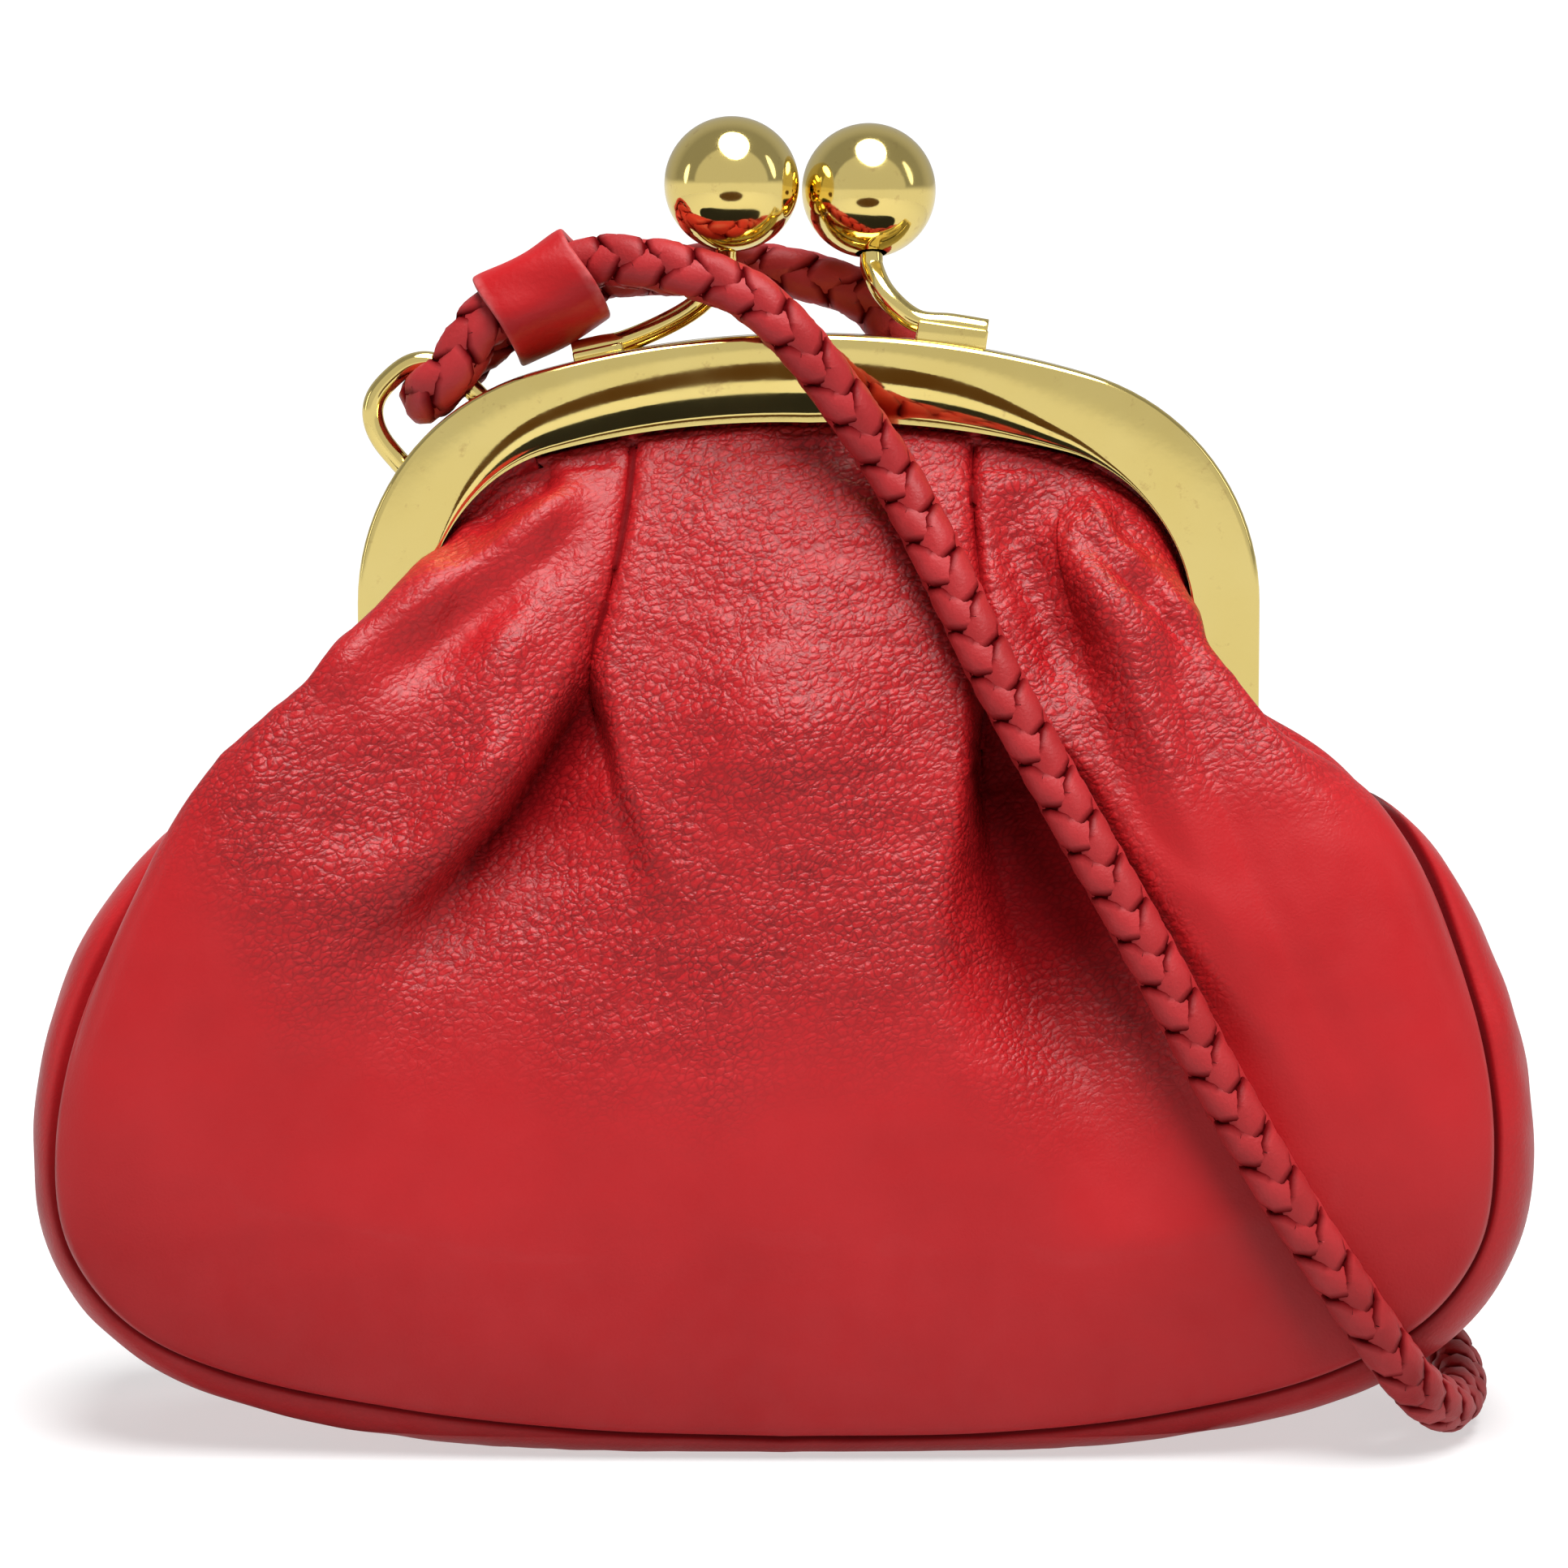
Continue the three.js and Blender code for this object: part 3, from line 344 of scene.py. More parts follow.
def lane(side, along):
    return tuple(KEEPER_PLACE @ Vector((LANE_OFF * side, 0, along)))


STRAP_ROUTE = [
    lane(-1, -0.15), lane(-1, -7.3),
    bight(-90), bight(-45), bight(0), bight(45), bight(90),
    lane(1, -7.3), lane(1, 0), lane(1, 7.3),
    (-17.5, -4.2, 136), (-10.8, -7, 134.9), (-4.2, -9, 132.3), (1.2, -10.5, 127.5),
    (6.9, -10.6, 120.2), (12.8, -11.2, 111.5), (17.4, -14.8, 103), (24, -19.4, 89.4),
    (32.5, -24, 74.1), (41.1, -27.9, 58.9), (48.3, -30.4, 45.4), (56.6, -32.1, 31.2),
    (66, -30.3, 17), (71.5, -25, 9.2), (76.6, -15, 4.6), (79.6, -2, 4.2),
    (79.6, 10, 6), (75.6, 24.2, 10), (67, 31.7, 18.5), (54, 32.1, 40),
    (42, 28.3, 63), (33, 23, 83), (24.5, 15.2, 104), (18, 10.8, 118),
    (10.5, 10.4, 131), (3.2, 9.6, 134.2), (-5, 9, 135.4), (-14, 6.6, 135),
    lane(-1, 7.3), lane(-1, 0.15),
]
print("route points:", len(STRAP_ROUTE))


# %% A smooth line through the points, with frames that do not twist
def smooth_line(points, steps):
    """Centripetal curve through points, so that close points make no loops."""
    p = np.array(points, float)
    p = np.vstack([2 * p[0] - p[1], p, 2 * p[-1] - p[-2]])
    line = []
    for k in range(1, len(p) - 2):
        p0, p1, p2, p3 = p[k - 1 : k + 3]
        d0, d1, d2 = (max(np.linalg.norm(b - a), 1e-4) ** 0.5 for a, b in ((p0, p1), (p1, p2), (p2, p3)))
        m1 = ((p1 - p0) / d0 - (p2 - p0) / (d0 + d1) + (p2 - p1) / d1) * d1
        m2 = ((p2 - p1) / d1 - (p3 - p1) / (d1 + d2) + (p3 - p2) / d2) * d1
        s = np.linspace(0, 1, steps, endpoint=False)[:, None]
        a, b = 2 * p1 - 2 * p2 + m1 + m2, -3 * p1 + 3 * p2 - 2 * m1 - m2
        line.append(p1 + s * m1 + s**2 * b + s**3 * a)
    return np.vstack(line + [p[-2:-1]])


def even_line(points, spacing):
    line = smooth_line(points, 60)
    run = np.concatenate([[0], np.cumsum(np.linalg.norm(np.diff(line, axis=0), axis=1))])
    even = np.linspace(0, run[-1], int(run[-1] / spacing) + 1)
    return even, np.stack([np.interp(even, run, line[:, k]) for k in range(3)], axis=1)


strap_run, strap_line = even_line(STRAP_ROUTE, 0.25)
strap_ahead = np.gradient(strap_line, strap_run, axis=0)
strap_ahead /= np.linalg.norm(strap_ahead, axis=1)[:, None]
front_point = int(np.argmin(np.linalg.norm(strap_line - np.array(STRAP_ROUTE[17]), axis=1)))


def carry(start, ahead):
    """Carries a side direction along the line from its first point, turning only with the line."""
    sides = [start - ahead[0] * np.dot(start, ahead[0])]
    for forward in ahead[1:]:
        side = sides[-1] - forward * np.dot(sides[-1], forward)
        sides.append(side / np.linalg.norm(side))
    return np.array(sides)


faces_front = np.array([0.0, -1.0, 0.0])
later = carry(faces_front, strap_ahead[front_point:])
earlier = carry(later[0], strap_ahead[front_point::-1])
strap_side = np.vstack([earlier[:0:-1], later])
strap_side /= np.linalg.norm(strap_side, axis=1)[:, None]
strap_other = np.cross(strap_ahead, strap_side)

# %% [markdown]
# ## The braid
# The strap is plaited from four flat laces. Two wind one way round the core and two the other way,
# each over one and under the next. A plain tube with a bump would show no edges, so every lace is a
# thin flat strip of its own, wound round the route: its distance from the middle rises where it
# passes over and sinks where it passes under. The lace is a grid whose long edges are welded.

# %% Wind the four laces
LACE_TURN = 11.4
LACE_HALF_WIDTH = 2.1
LACE_THICK = 0.65
LACE_MIDDLE = 2.58
LACE_WAVE = 0.33
LACE_COIL = 2.7
LACE_LINGER = 0.74
CORE_RADIUS = 2.65
CORE_SHADE = -2.0
LACE_AROUND = np.array(
    [(-1, -0.2), (-0.97, 0.06), (-0.86, 0.3), (-0.6, 0.5), (-0.3, 0.56), (0, 0.6), (0.3, 0.56), (0.6, 0.5),
     (0.86, 0.3), (0.97, 0.06), (1, -0.2), (0.6, -0.5), (-0.6, -0.5), (-1, -0.2)]
)


def strap_point(run, turn, radius):
    """Point round the strap's middle line, at a turn from the side that faces the front."""
    middle, side, other = (
        np.stack([np.interp(run, strap_run, v[:, k]) for k in range(3)], axis=1)
        for v in (strap_line, strap_side, strap_other)
    )
    return middle + radius[:, None] * (np.cos(turn)[:, None] * side + np.sin(turn)[:, None] * other)


def lace_place(way, start):
    """A lace lies steeper along the strap where it shows on top, and turns faster where it dives under."""

    def place(u, v):
        run = strap_run[-1] * u
        k = np.rint(v * (len(LACE_AROUND) - 1)).astype(int)
        offset, height = LACE_AROUND[k, 0] * LACE_HALF_WIDTH, LACE_AROUND[k, 1] * LACE_THICK
        even = way * 2 * math.pi * run / LACE_TURN + start
        turn = even - LACE_LINGER / 4 * np.sin(4 * (even - math.pi / 4))
        pace = 1 - LACE_LINGER * np.cos(4 * (even - math.pi / 4))
        slope = np.arctan(LACE_COIL * 2 * math.pi / LACE_TURN * pace)
        run = np.clip(run - way * offset * np.sin(slope), 0, strap_run[-1])
        turn = turn + offset * np.cos(slope) / LACE_COIL
        over = -way * np.cos(2 * (turn - math.pi / 4))
        return strap_point(run, turn, LACE_MIDDLE + LACE_WAVE * over + height)

    return place


def core_place(u, v):
    run, turn = strap_run[-1] * u, 2 * math.pi * v
    return strap_point(run, turn, np.full(len(u), CORE_RADIUS))


lace_steps = int(strap_run[-1] / 0.6)
laces = []
for number, (way, start) in enumerate([(1, 0), (1, math.pi), (-1, 0), (-1, math.pi)]):
    start = start + math.pi / 4
    lace = shaped_grid(f"lace_{number}", lace_steps, len(LACE_AROUND) - 1, lace_place(way, start))
    around = np.arange(len(lace.data.vertices)) // (lace_steps + 1)
    # The long edges of each lace are marked for painted shade, where the laces meet and dive under one another.
    paint(lace, "edge", smooth(0.7, 0.95, np.abs(LACE_AROUND[around, 0])))
    in_edit_mode(lace, weld, fill_ends, face_outward)
    paint(lace, "shade", np.full(len(lace.data.vertices), number / 3))
    laces.append(lace)
core = shaped_grid("lace_core", lace_steps // 2, 10, core_place)
in_edit_mode(core, weld, fill_ends, face_outward)
# The core is marked to be painted dark red, as painted shade in the gaps between the laces.
paint(core, "shade", np.full(len(core.data.vertices), CORE_SHADE))
pick(*laces, core)
bpy.ops.object.join()
strap = bpy.context.object
strap.name = "braided_strap"
bpy.ops.object.shade_smooth_by_angle(angle=math.radians(50))
print("strap faces", len(strap.data.polygons))


# %% [markdown]
# ## Red leather for the laces and the sleeve
# Cut laces are smooth leather with a soft satin shine and a very fine grain; each strip is a little
# lighter or darker than the next, and the colour is deeper in places where hands have held it. The
# colour comes from noise at two sizes, and the grain is a fine bump. The long edges of each lace and
# the core under the laces are painted a near-black red as painted shade, where the laces meet and dive
# under one another, and they shine less.

# %% Helpers for building finishes from nodes
def new_finish(name):
    made = bpy.data.materials.new(name)
    made.use_nodes = True
    return made, made.node_tree, made.node_tree.nodes["Principled BSDF"]


def cover(made, finish):
    made.data.materials.clear()
    made.data.materials.append(finish)


def feed(tree, node, **inputs):
    """Gives a node its inputs: each is a value or another node's socket."""
    for key, value in inputs.items():
        socket = node.inputs[int(key[1:]) if key[0] == "i" and key[1:].isdigit() else key.replace("_", " ")]
        if isinstance(value, bpy.types.NodeSocket):
            tree.links.new(value, socket)
        else:
            socket.default_value = value
    return node


def add_node(tree, kind, settings=None, **inputs):
    node = tree.nodes.new(kind)
    for key, value in (settings or {}).items():
        setattr(node, key, value)
    return feed(tree, node, **inputs)


def noise(tree, vector, scale, detail=3.0, rough=0.5):
    made = add_node(tree, "ShaderNodeTexNoise", Vector=vector, Scale=scale, Detail=detail, Roughness=rough)
    return made.outputs["Fac"]


def remap(tree, value, low, high, to_low, to_high):
    made = add_node(
        tree, "ShaderNodeMapRange", Value=value, From_Min=low, From_Max=high, To_Min=to_low, To_Max=to_high
    )
    return made.outputs["Result"]


def blend_colour(tree, share, first, second):
    made = add_node(tree, "ShaderNodeMix", {"data_type": "RGBA"}, i0=share, i6=first, i7=second)
    return made.outputs[2]


def maths(tree, operation, first, second):
    made = add_node(tree, "ShaderNodeMath", {"operation": operation}, i0=first, i1=second)
    return made.outputs[0]


def attribute(tree, name):
    return add_node(tree, "ShaderNodeAttribute", {"attribute_name": name}).outputs["Fac"]


def bump(tree, height, distance, strength=1.0, under=None):
    made = add_node(tree, "ShaderNodeBump", Height=height, Distance=distance, Strength=strength)
    if under is not None:
        tree.links.new(under, made.inputs["Normal"])
    return made.outputs["Normal"]


# %% Lace leather
lace_leather, tree, shader = new_finish("lace_leather")
where = add_node(tree, "ShaderNodeTexCoord").outputs["Object"]
# Near-black red painted shade for the edges of the laces and for the core between them.
LACE_SHADE_RED = (0.075, 0.002, 0.003, 1)
strip_shade = maths(tree, "ADD", noise(tree, where, 120.0), maths(tree, "MULTIPLY", attribute(tree, "shade"), 0.25))
lace_colour = blend_colour(
    tree, remap(tree, strip_shade, 0.35, 0.95, 0.0, 1.0), (0.33, 0.013, 0.015, 1), (0.46, 0.024, 0.028, 1)
)
# Share of painted shade on each lace's edges and on the core; these places also shine less.
edge_shade_share = maths(tree, "MULTIPLY", attribute(tree, "edge"), 0.9)
core_shade_share = remap(tree, attribute(tree, "shade"), -1.0, 0.0, 1.0, 0.0)
dull_share = maths(tree, "MAXIMUM", edge_shade_share, core_shade_share)
feed(
    tree,
    shader,
    Base_Color=blend_colour(tree, core_shade_share, blend_colour(tree, edge_shade_share, lace_colour, LACE_SHADE_RED), LACE_SHADE_RED),
    Roughness=remap(tree, noise(tree, where, 300.0), 0.3, 0.7, 0.42, 0.56),
    Specular_IOR_Level=remap(tree, dull_share, 0.0, 0.8, 0.3, 0.0),
    Normal=bump(tree, noise(tree, where, 2600.0, 4.0), 0.00008, 0.7),
)
cover(strap, lace_leather)
print("finish", lace_leather.name)

# %% [markdown]
# ## The keeper sleeve
# A short sleeve of smooth leather holds the two runs of the strap together. It is a strip wrapped
# round both, so its section is a soft box. A grid is rolled up into a tube, welded, given the leather's
# thickness with Solidify, and its cut ends are rounded with Bevel.

# %% Roll up the sleeve
KEEPER_LENGTH = 12.0
KEEPER_HALF_WIDE = 8.1
KEEPER_HALF_DEEP = 5.4
KEEPER_WALL = 1.3
KEEPER_BOXY = 2.8


def sleeve_place(u, v):
    turn = 2 * math.pi * u
    along = (v - 0.5) * KEEPER_LENGTH
    end = np.abs(2 * v - 1)
    waist = 1 - 0.03 * np.sin(math.pi * v) - 0.035 * end**6
    boxy = np.abs(np.cos(turn)) ** KEEPER_BOXY + np.abs(np.sin(turn)) ** KEEPER_BOXY
    reach = waist / boxy ** (1 / KEEPER_BOXY)
    dent = 0.22 * np.sin(3 * turn + 4 * v) + 0.14 * np.sin(5 * turn - 7 * v + 1)
    x = KEEPER_HALF_WIDE * reach * np.cos(turn) + dent * np.cos(turn) * 0.6
    y = KEEPER_HALF_DEEP * reach * np.sin(turn) + dent * np.sin(turn)
    flat = np.stack([x, y, along + 0.35 * np.sin(2 * turn)], axis=1)
    place = np.array(KEEPER_PLACE)
    return flat @ place[:3, :3].T + place[:3, 3]


keeper = shaped_grid("keeper_sleeve", 72, 18, sleeve_place)
in_edit_mode(keeper, weld, face_outward)
apply_modifier(keeper, "SOLIDIFY", thickness=KEEPER_WALL * MM, offset=-1, use_even_offset=True)
apply_modifier(keeper, "BEVEL", width=0.35 * MM, segments=3, limit_method="ANGLE", angle_limit=math.radians(50))
bpy.ops.object.shade_smooth_by_angle(angle=math.radians(60))
print("sleeve size, mm", [round(d / MM, 1) for d in keeper.dimensions])

# %% Sleeve leather, paler where the ends are handled
keeper_place = np.array(KEEPER_PLACE)
along_sleeve = ((points_of(keeper) - keeper_place[:3, 3]) @ keeper_place[:3, :3])[:, 2]
paint(keeper, "worn", smooth(KEEPER_LENGTH / 2 - 1.1, KEEPER_LENGTH / 2, np.abs(along_sleeve)))
sleeve_leather, tree, shader = new_finish("sleeve_leather")
where = add_node(tree, "ShaderNodeTexCoord").outputs["Object"]
plain_red = blend_colour(
    tree, remap(tree, noise(tree, where, 90.0), 0.3, 0.7, 0.0, 1.0), (0.38, 0.006, 0.008, 1), (0.46, 0.009, 0.012, 1)
)
patchy = remap(tree, noise(tree, where, 700.0), 0.3, 0.7, 0.2, 0.7)
worn_share = maths(tree, "MULTIPLY", attribute(tree, "worn"), patchy)
feed(
    tree,
    shader,
    Base_Color=blend_colour(tree, worn_share, plain_red, (0.62, 0.16, 0.16, 1)),
    Roughness=remap(tree, noise(tree, where, 250.0), 0.3, 0.7, 0.38, 0.5),
    Specular_IOR_Level=0.22,
    Normal=bump(tree, noise(tree, where, 1500.0, 5.0), 0.00012, 0.5),
)
cover(keeper, sleeve_leather)
print("finish", sleeve_leather.name)

# %% [markdown]
# ## Gold plate
# The frame, the balls and the ring are thin gold plate on polished metal. A mirror with one colour
# looks false, so the roughness wanders a little, fine wear shows as a weak bump, and a few dull specks
# of tarnish sit here and there. The rest of the look comes from what the metal mirrors.

# %% Gold finish
gold_plate, tree, shader = new_finish("gold_plate")
where = add_node(tree, "ShaderNodeTexCoord").outputs["Object"]
speck = remap(tree, noise(tree, where, 420.0, 6.0, 0.7), 0.6, 0.72, 0.0, 0.55)
gold_colour = blend_colour(tree, noise(tree, where, 70.0), (0.83, 0.63, 0.19, 1), (0.91, 0.74, 0.29, 1))
feed(
    tree,
    shader,
    Base_Color=blend_colour(tree, speck, gold_colour, (0.56, 0.36, 0.13, 1)),
    Metallic=1.0,
    Roughness=remap(tree, noise(tree, where, 160.0, 4.0), 0.3, 0.75, 0.05, 0.13),
    Normal=bump(tree, noise(tree, where, 900.0, 4.0), 0.00002, 0.25),
)
print("finish", gold_plate.name)

# %% [markdown]
# ## The frame
# Each half is a pressed channel of thin sheet: a flat band in front that rolls down to a thin lip, a
# short back wall, and the leather gripped inside. In the workshop the strip is bent round a former, so
# Spin is the tool: the section is drawn once at the end of the left leg, extruded up the leg, spun
# round the corner, along the shallow top, round the other corner, and extruded down the other leg.
# The band is narrower at the legs, so the lip is drawn in afterwards, and the roll shrinks to a narrow
# edge towards the corners, where the dark lines in the real band run out to points.

# %% Draw the channel's section and sweep it
LEG_END_Z = 79.0
FRAME_DEPTH = 6.6
HALF_GAP = 0.2
FACE_Y = -HALF_GAP - FRAME_DEPTH
BAND_DRAWN = 9.0
BAND_WIDTH = [[0, 0.105, 0.2, 0.31, 0.5], [6.4, 7.9, 8.9, 9.3, 10.2]]
LIP_FACE = [
    [0.33, 0.4, 0.5, 0.58, 0.68, 0.74, 0.8, 0.86, 0.9, 0.925, 0.95, 1],
    [0, 0.03, 0.15, 0.3, 0.54, 0.74, 1.0, 1.29, 1.5, 1.58, 1.61, 1.63],
]
LIP_INSIDE = [[1, 0.9, 0.77, 0.65, 0.5], [2.5, 2.35, 1.75, 1.25, 1.0]]
ROLL_SHARE = [[0.0, 0.17, 0.22, 0.36, 0.6, 0.7, 0.74, 1.0], [0.1, 0.12, 0.35, 1.0, 1.0, 0.3, 0.12, 0.1]]


def channel_section():
    """Points of the front half's section: distance into the mouth, and y from front to back."""
    edge = [(0, 0.9), (0.09, 0.5), (0.32, 0.2), (0.62, 0.05), (0.95, 0)]
    points = [(d, FACE_Y + y) for d, y in edge]
    points += [(a * BAND_DRAWN, FACE_Y + deep) for a, deep in zip(*LIP_FACE)]
    points += [(a * BAND_DRAWN, FACE_Y + deep) for a, deep in zip(*LIP_INSIDE)]
    points += [(1, FACE_Y + 1), (1, -HALF_GAP - 1), (4.2, -HALF_GAP - 1), (4.2, -HALF_GAP), (0.6, -HALF_GAP)]
    return points + [(0.17, -HALF_GAP - 0.17), (0, -HALF_GAP - 0.6)]


section = channel_section()
bpy.ops.mesh.primitive_circle_add(vertices=len(section), radius=5 * MM)
channel = bpy.context.object
channel.name = "front_frame_half"
for vertex, (d, y) in zip(channel.data.vertices, section):
    vertex.co = Vector((FRAME_X - HALF_WIDTH + d, y, LEG_END_Z)) * MM


def extrude_leg(rise):
    bpy.ops.mesh.extrude_region_move(TRANSFORM_OT_translate={"value": (0, 0, rise * MM)})


def spin_round(x, z, angle, steps):
    bpy.ops.mesh.spin(steps=steps, angle=-angle, center=(x * MM, 0, z * MM), axis=(0, 1, 0))


def sweep_channel():
    for _ in range(3):
        extrude_leg((CORNER_Z - LEG_END_Z) / 3)
    spin_round(FRAME_X - CORNER_X, CORNER_Z, math.pi / 2 - TOP_SPAN, 20)
    spin_round(FRAME_X, TOP_CENTRE_Z, 2 * TOP_SPAN, 40)
    spin_round(FRAME_X + CORNER_X, CORNER_Z, math.pi / 2 - TOP_SPAN, 20)
    for _ in range(3):
        extrude_leg((LEG_END_Z - CORNER_Z) / 3)
    bpy.ops.mesh.select_all(action="SELECT")
    weld()
    fill_ends()
    face_outward()


in_edit_mode(channel, sweep_channel)
print("channel, mm", [round(d / MM, 1) for d in channel.dimensions], len(channel.data.polygons), "faces")

# %% Draw the lip in where the band is narrower
TOP_RUN = TOP_RADIUS * TOP_SPAN
CORNER_RUN = CORNER_RADIUS * (math.pi / 2 - TOP_SPAN)
HALF_RUN = TOP_RUN + CORNER_RUN + CORNER_Z - LEG_END_Z


def frame_edge(at):
    """Outer edge of the frame from 0 (left leg's end) to 1 (right leg's end), and the way into the mouth."""
    at = np.asarray(at, float)
    side = np.where(at < 0.5, -1.0, 1.0)
    run = np.abs(at - 0.5) * 2 * HALF_RUN
    on_top = run <= TOP_RUN
    corner_lean = TOP_SPAN + np.clip(run - TOP_RUN, 0, CORNER_RUN) / CORNER_RADIUS
    lean = np.where(on_top, run / TOP_RADIUS, corner_lean)
    radius = np.where(on_top, TOP_RADIUS, CORNER_RADIUS)
    x = np.where(on_top, 0, CORNER_X) + radius * np.sin(lean)
    z = np.where(on_top, TOP_CENTRE_Z, CORNER_Z) + radius * np.cos(lean)
    z = z - np.maximum(run - TOP_RUN - CORNER_RUN, 0)
    return side * x, z, -side * np.sin(lean), -np.cos(lean)


def band_width(at):
    return through(BAND_WIDTH, 1, np.minimum(at, 1 - at))


def frame_station(x, z):
    """Station of a point near the frame, and its distance into the mouth, in the frame's own middle."""
    side = np.where(x < 0, -1, 1)
    x = np.abs(x)
    lean_top = np.arctan2(x, z - TOP_CENTRE_Z)
    lean_corner = np.arctan2(x - CORNER_X, z - CORNER_Z)
    on_top = lean_top <= TOP_SPAN
    on_leg = ~on_top & (z < CORNER_Z)
    run = np.where(on_top, lean_top * TOP_RADIUS, TOP_RUN + (lean_corner - TOP_SPAN) * CORNER_RADIUS)
    run = np.where(on_leg, TOP_RUN + CORNER_RUN + CORNER_Z - z, run)
    top_into = TOP_RADIUS - np.hypot(x, z - TOP_CENTRE_Z)
    corner_into = CORNER_RADIUS - np.hypot(x - CORNER_X, z - CORNER_Z)
    into = np.where(on_leg, HALF_WIDTH - x, np.where(on_top, top_into, corner_into))
    return 0.5 + side * run / (2 * HALF_RUN), into


points = points_of(channel)
station, into = frame_station(points[:, 0] - FRAME_X, points[:, 2])
_, _, in_x, in_z = frame_edge(station)
is_lip = (points[:, 1] < FACE_Y + 3.2) & (into > 0.32 * BAND_DRAWN)
roll_share = through(ROLL_SHARE, 1, station)
narrowed = (BAND_DRAWN - (BAND_DRAWN - into) * roll_share) * band_width(station) / BAND_DRAWN
new_into = np.where(is_lip, narrowed, into)
points[:, 0] += in_x * (new_into - into)
points[:, 2] += in_z * (new_into - into)
deep = points[:, 1] - FACE_Y
inside = (deep > 0.98) & ~np.isin(np.round(deep, 2), LIP_FACE[1])
sheet = np.where(inside, 1.0, 0.0)
points[:, 1] = np.where(is_lip, FACE_Y + sheet + (deep - sheet) * roll_share, points[:, 1])
channel.data.vertices.foreach_set("co", (points * MM).ravel())
channel.data.update()
print("lip drawn in by up to", round(float(np.max(into - new_into)), 2), "mm")

# %% [markdown]
# ## Hinge tabs, clasp arms and the second half
# A small round-ended tab hangs from each leg for the hinge rivet. The clasp arm is a stout wire that
# lies on the frame's top on a soldered foot and bends up into its ball. The plain channel is copied
# and mirrored for the back half before these are joined on, because the two arms differ.

# %% Tabs for the hinge
HINGE_Z = 75.8
TAB_RADIUS = 2.8
TAB_THICK = 1.2
TAB_INSET = {-1: 2.4, 1: 4.1}


def hinge_tab(side, leg):
    """One tab, drawn in the plane of the leg's side and extruded to its thickness."""
    arc = [math.radians(-170 + 12.5 * k) for k in range(19)]
    outline = [(-0.6, 80.5), (-6.4, 80.5), (-6.4, 79.0)]
    outline += [(TAB_RADIUS * math.cos(a), HINGE_Z + TAB_RADIUS * math.sin(a)) for a in arc]
    outline += [(-0.6, 78.7)]
    bpy.ops.mesh.primitive_circle_add(vertices=len(outline), radius=3 * MM, fill_type="NGON")
    made = bpy.context.object
    inset = TAB_INSET[side]
    low = FRAME_X + (HALF_WIDTH - inset - TAB_THICK if leg > 0 else inset - HALF_WIDTH)
    for vertex, (y, z) in zip(made.data.vertices, outline):
        vertex.co = Vector((low, -side * y, z)) * MM
    thicken = {"value": (TAB_THICK * MM, 0, 0)}
    in_edit_mode(made, lambda: bpy.ops.mesh.extrude_region_move(TRANSFORM_OT_translate=thicken))
    in_edit_mode(made, face_outward)
    apply_modifier(made, "BEVEL", width=0.2 * MM, segments=2, limit_method="ANGLE", angle_limit=math.radians(50))
    return made


tabs = {side: [hinge_tab(side, leg) for leg in (-1, 1)] for side in (-1, 1)}
print("tabs", sum(len(pair) for pair in tabs.values()))

# %% Clasp arms on their feet
BALL_RADIUS = 7.8
ARM_WIRE = 1.35
FOOT_WIDE = 3.2
FOOT_SUNK = 0.4
ARMS = {
    "front": {
        "ball": (7.0, 2.0, 144.3),
        "foot": (20.6, 12.4, -3.4, 2.2),
        "bend": [(8.8, -2.7, 132.4), (7.3, -0.6, 135.6)],
    },
    "back": {
        "ball": (-8.9, -2.0, 145.0),
        "foot": (-27.5, -21.5, 3.4, 1.0),
        "bend": [(-13, 2.9, 131), (-9.7, 0.9, 135.2)],
    },
}


def bent_wire(name, points, radius):
    """Round wire along a smooth line, as a curve with a round bevel, turned into a mesh."""
    line = smooth_line(points, 8)
    curve = bpy.data.curves.new(name, "CURVE")
    curve.dimensions = "3D"
    curve.bevel_depth = radius * MM
    curve.bevel_resolution = 5
    curve.use_fill_caps = True
    spline = curve.splines.new("POLY")
    spline.points.add(len(line) - 1)
    spline.points.foreach_set("co", np.hstack([line * MM, np.ones((len(line), 1))]).ravel())
    made = bpy.data.objects.new(name, curve)
    bpy.context.collection.objects.link(made)
    pick(made)
    bpy.ops.object.convert(target="MESH")
    return in_edit_mode(bpy.context.object, weld, face_outward)


def top_z(x):
    return TOP_CENTRE_Z + math.sqrt(TOP_RADIUS**2 - x**2)


def arm_way(arm):
    """Unit direction of the arm's straight end, into its ball."""
    return (Vector(arm["ball"]) - Vector(arm["bend"][1])).normalized()


def clasp_arm(name, arm):
    """A wire from its foot into its ball; the foot has a start, a stop, a place in y and a rise."""
    start, stop, y, rise = arm["foot"]
    foot = [(x, y, top_z(x) + rise) for x in (start, (start + stop) / 2, stop)]
    way = arm_way(arm)
    tip = [Vector(arm["ball"]) + way * (depth - BALL_RADIUS) for depth in (-0.5, 4.0)]
    line = [(p[0] + FRAME_X, p[1], p[2]) for p in [*foot, *arm["bend"], *tip]]
    wire = bent_wire(name, line, ARM_WIRE)
    apply_modifier(wire, "BEVEL", width=0.25 * MM, segments=2, limit_method="ANGLE", angle_limit=math.radians(60))
    middle = (start + stop) / 2
    plate_middle = Vector((middle + FRAME_X, y, top_z(middle) + (rise - FOOT_SUNK) / 2)) * MM
    bpy.ops.mesh.primitive_cube_add(size=1, location=plate_middle)
    plate = bpy.context.object
    plate.scale = Vector((abs(stop - start), FOOT_WIDE, rise + FOOT_SUNK)) * MM
    plate.rotation_euler = (0, math.asin(middle / TOP_RADIUS), 0)
    bpy.ops.object.transform_apply(location=True, rotation=True, scale=True)
    apply_modifier(plate, "BEVEL", width=0.3 * MM, segments=3)
    return [wire, plate]


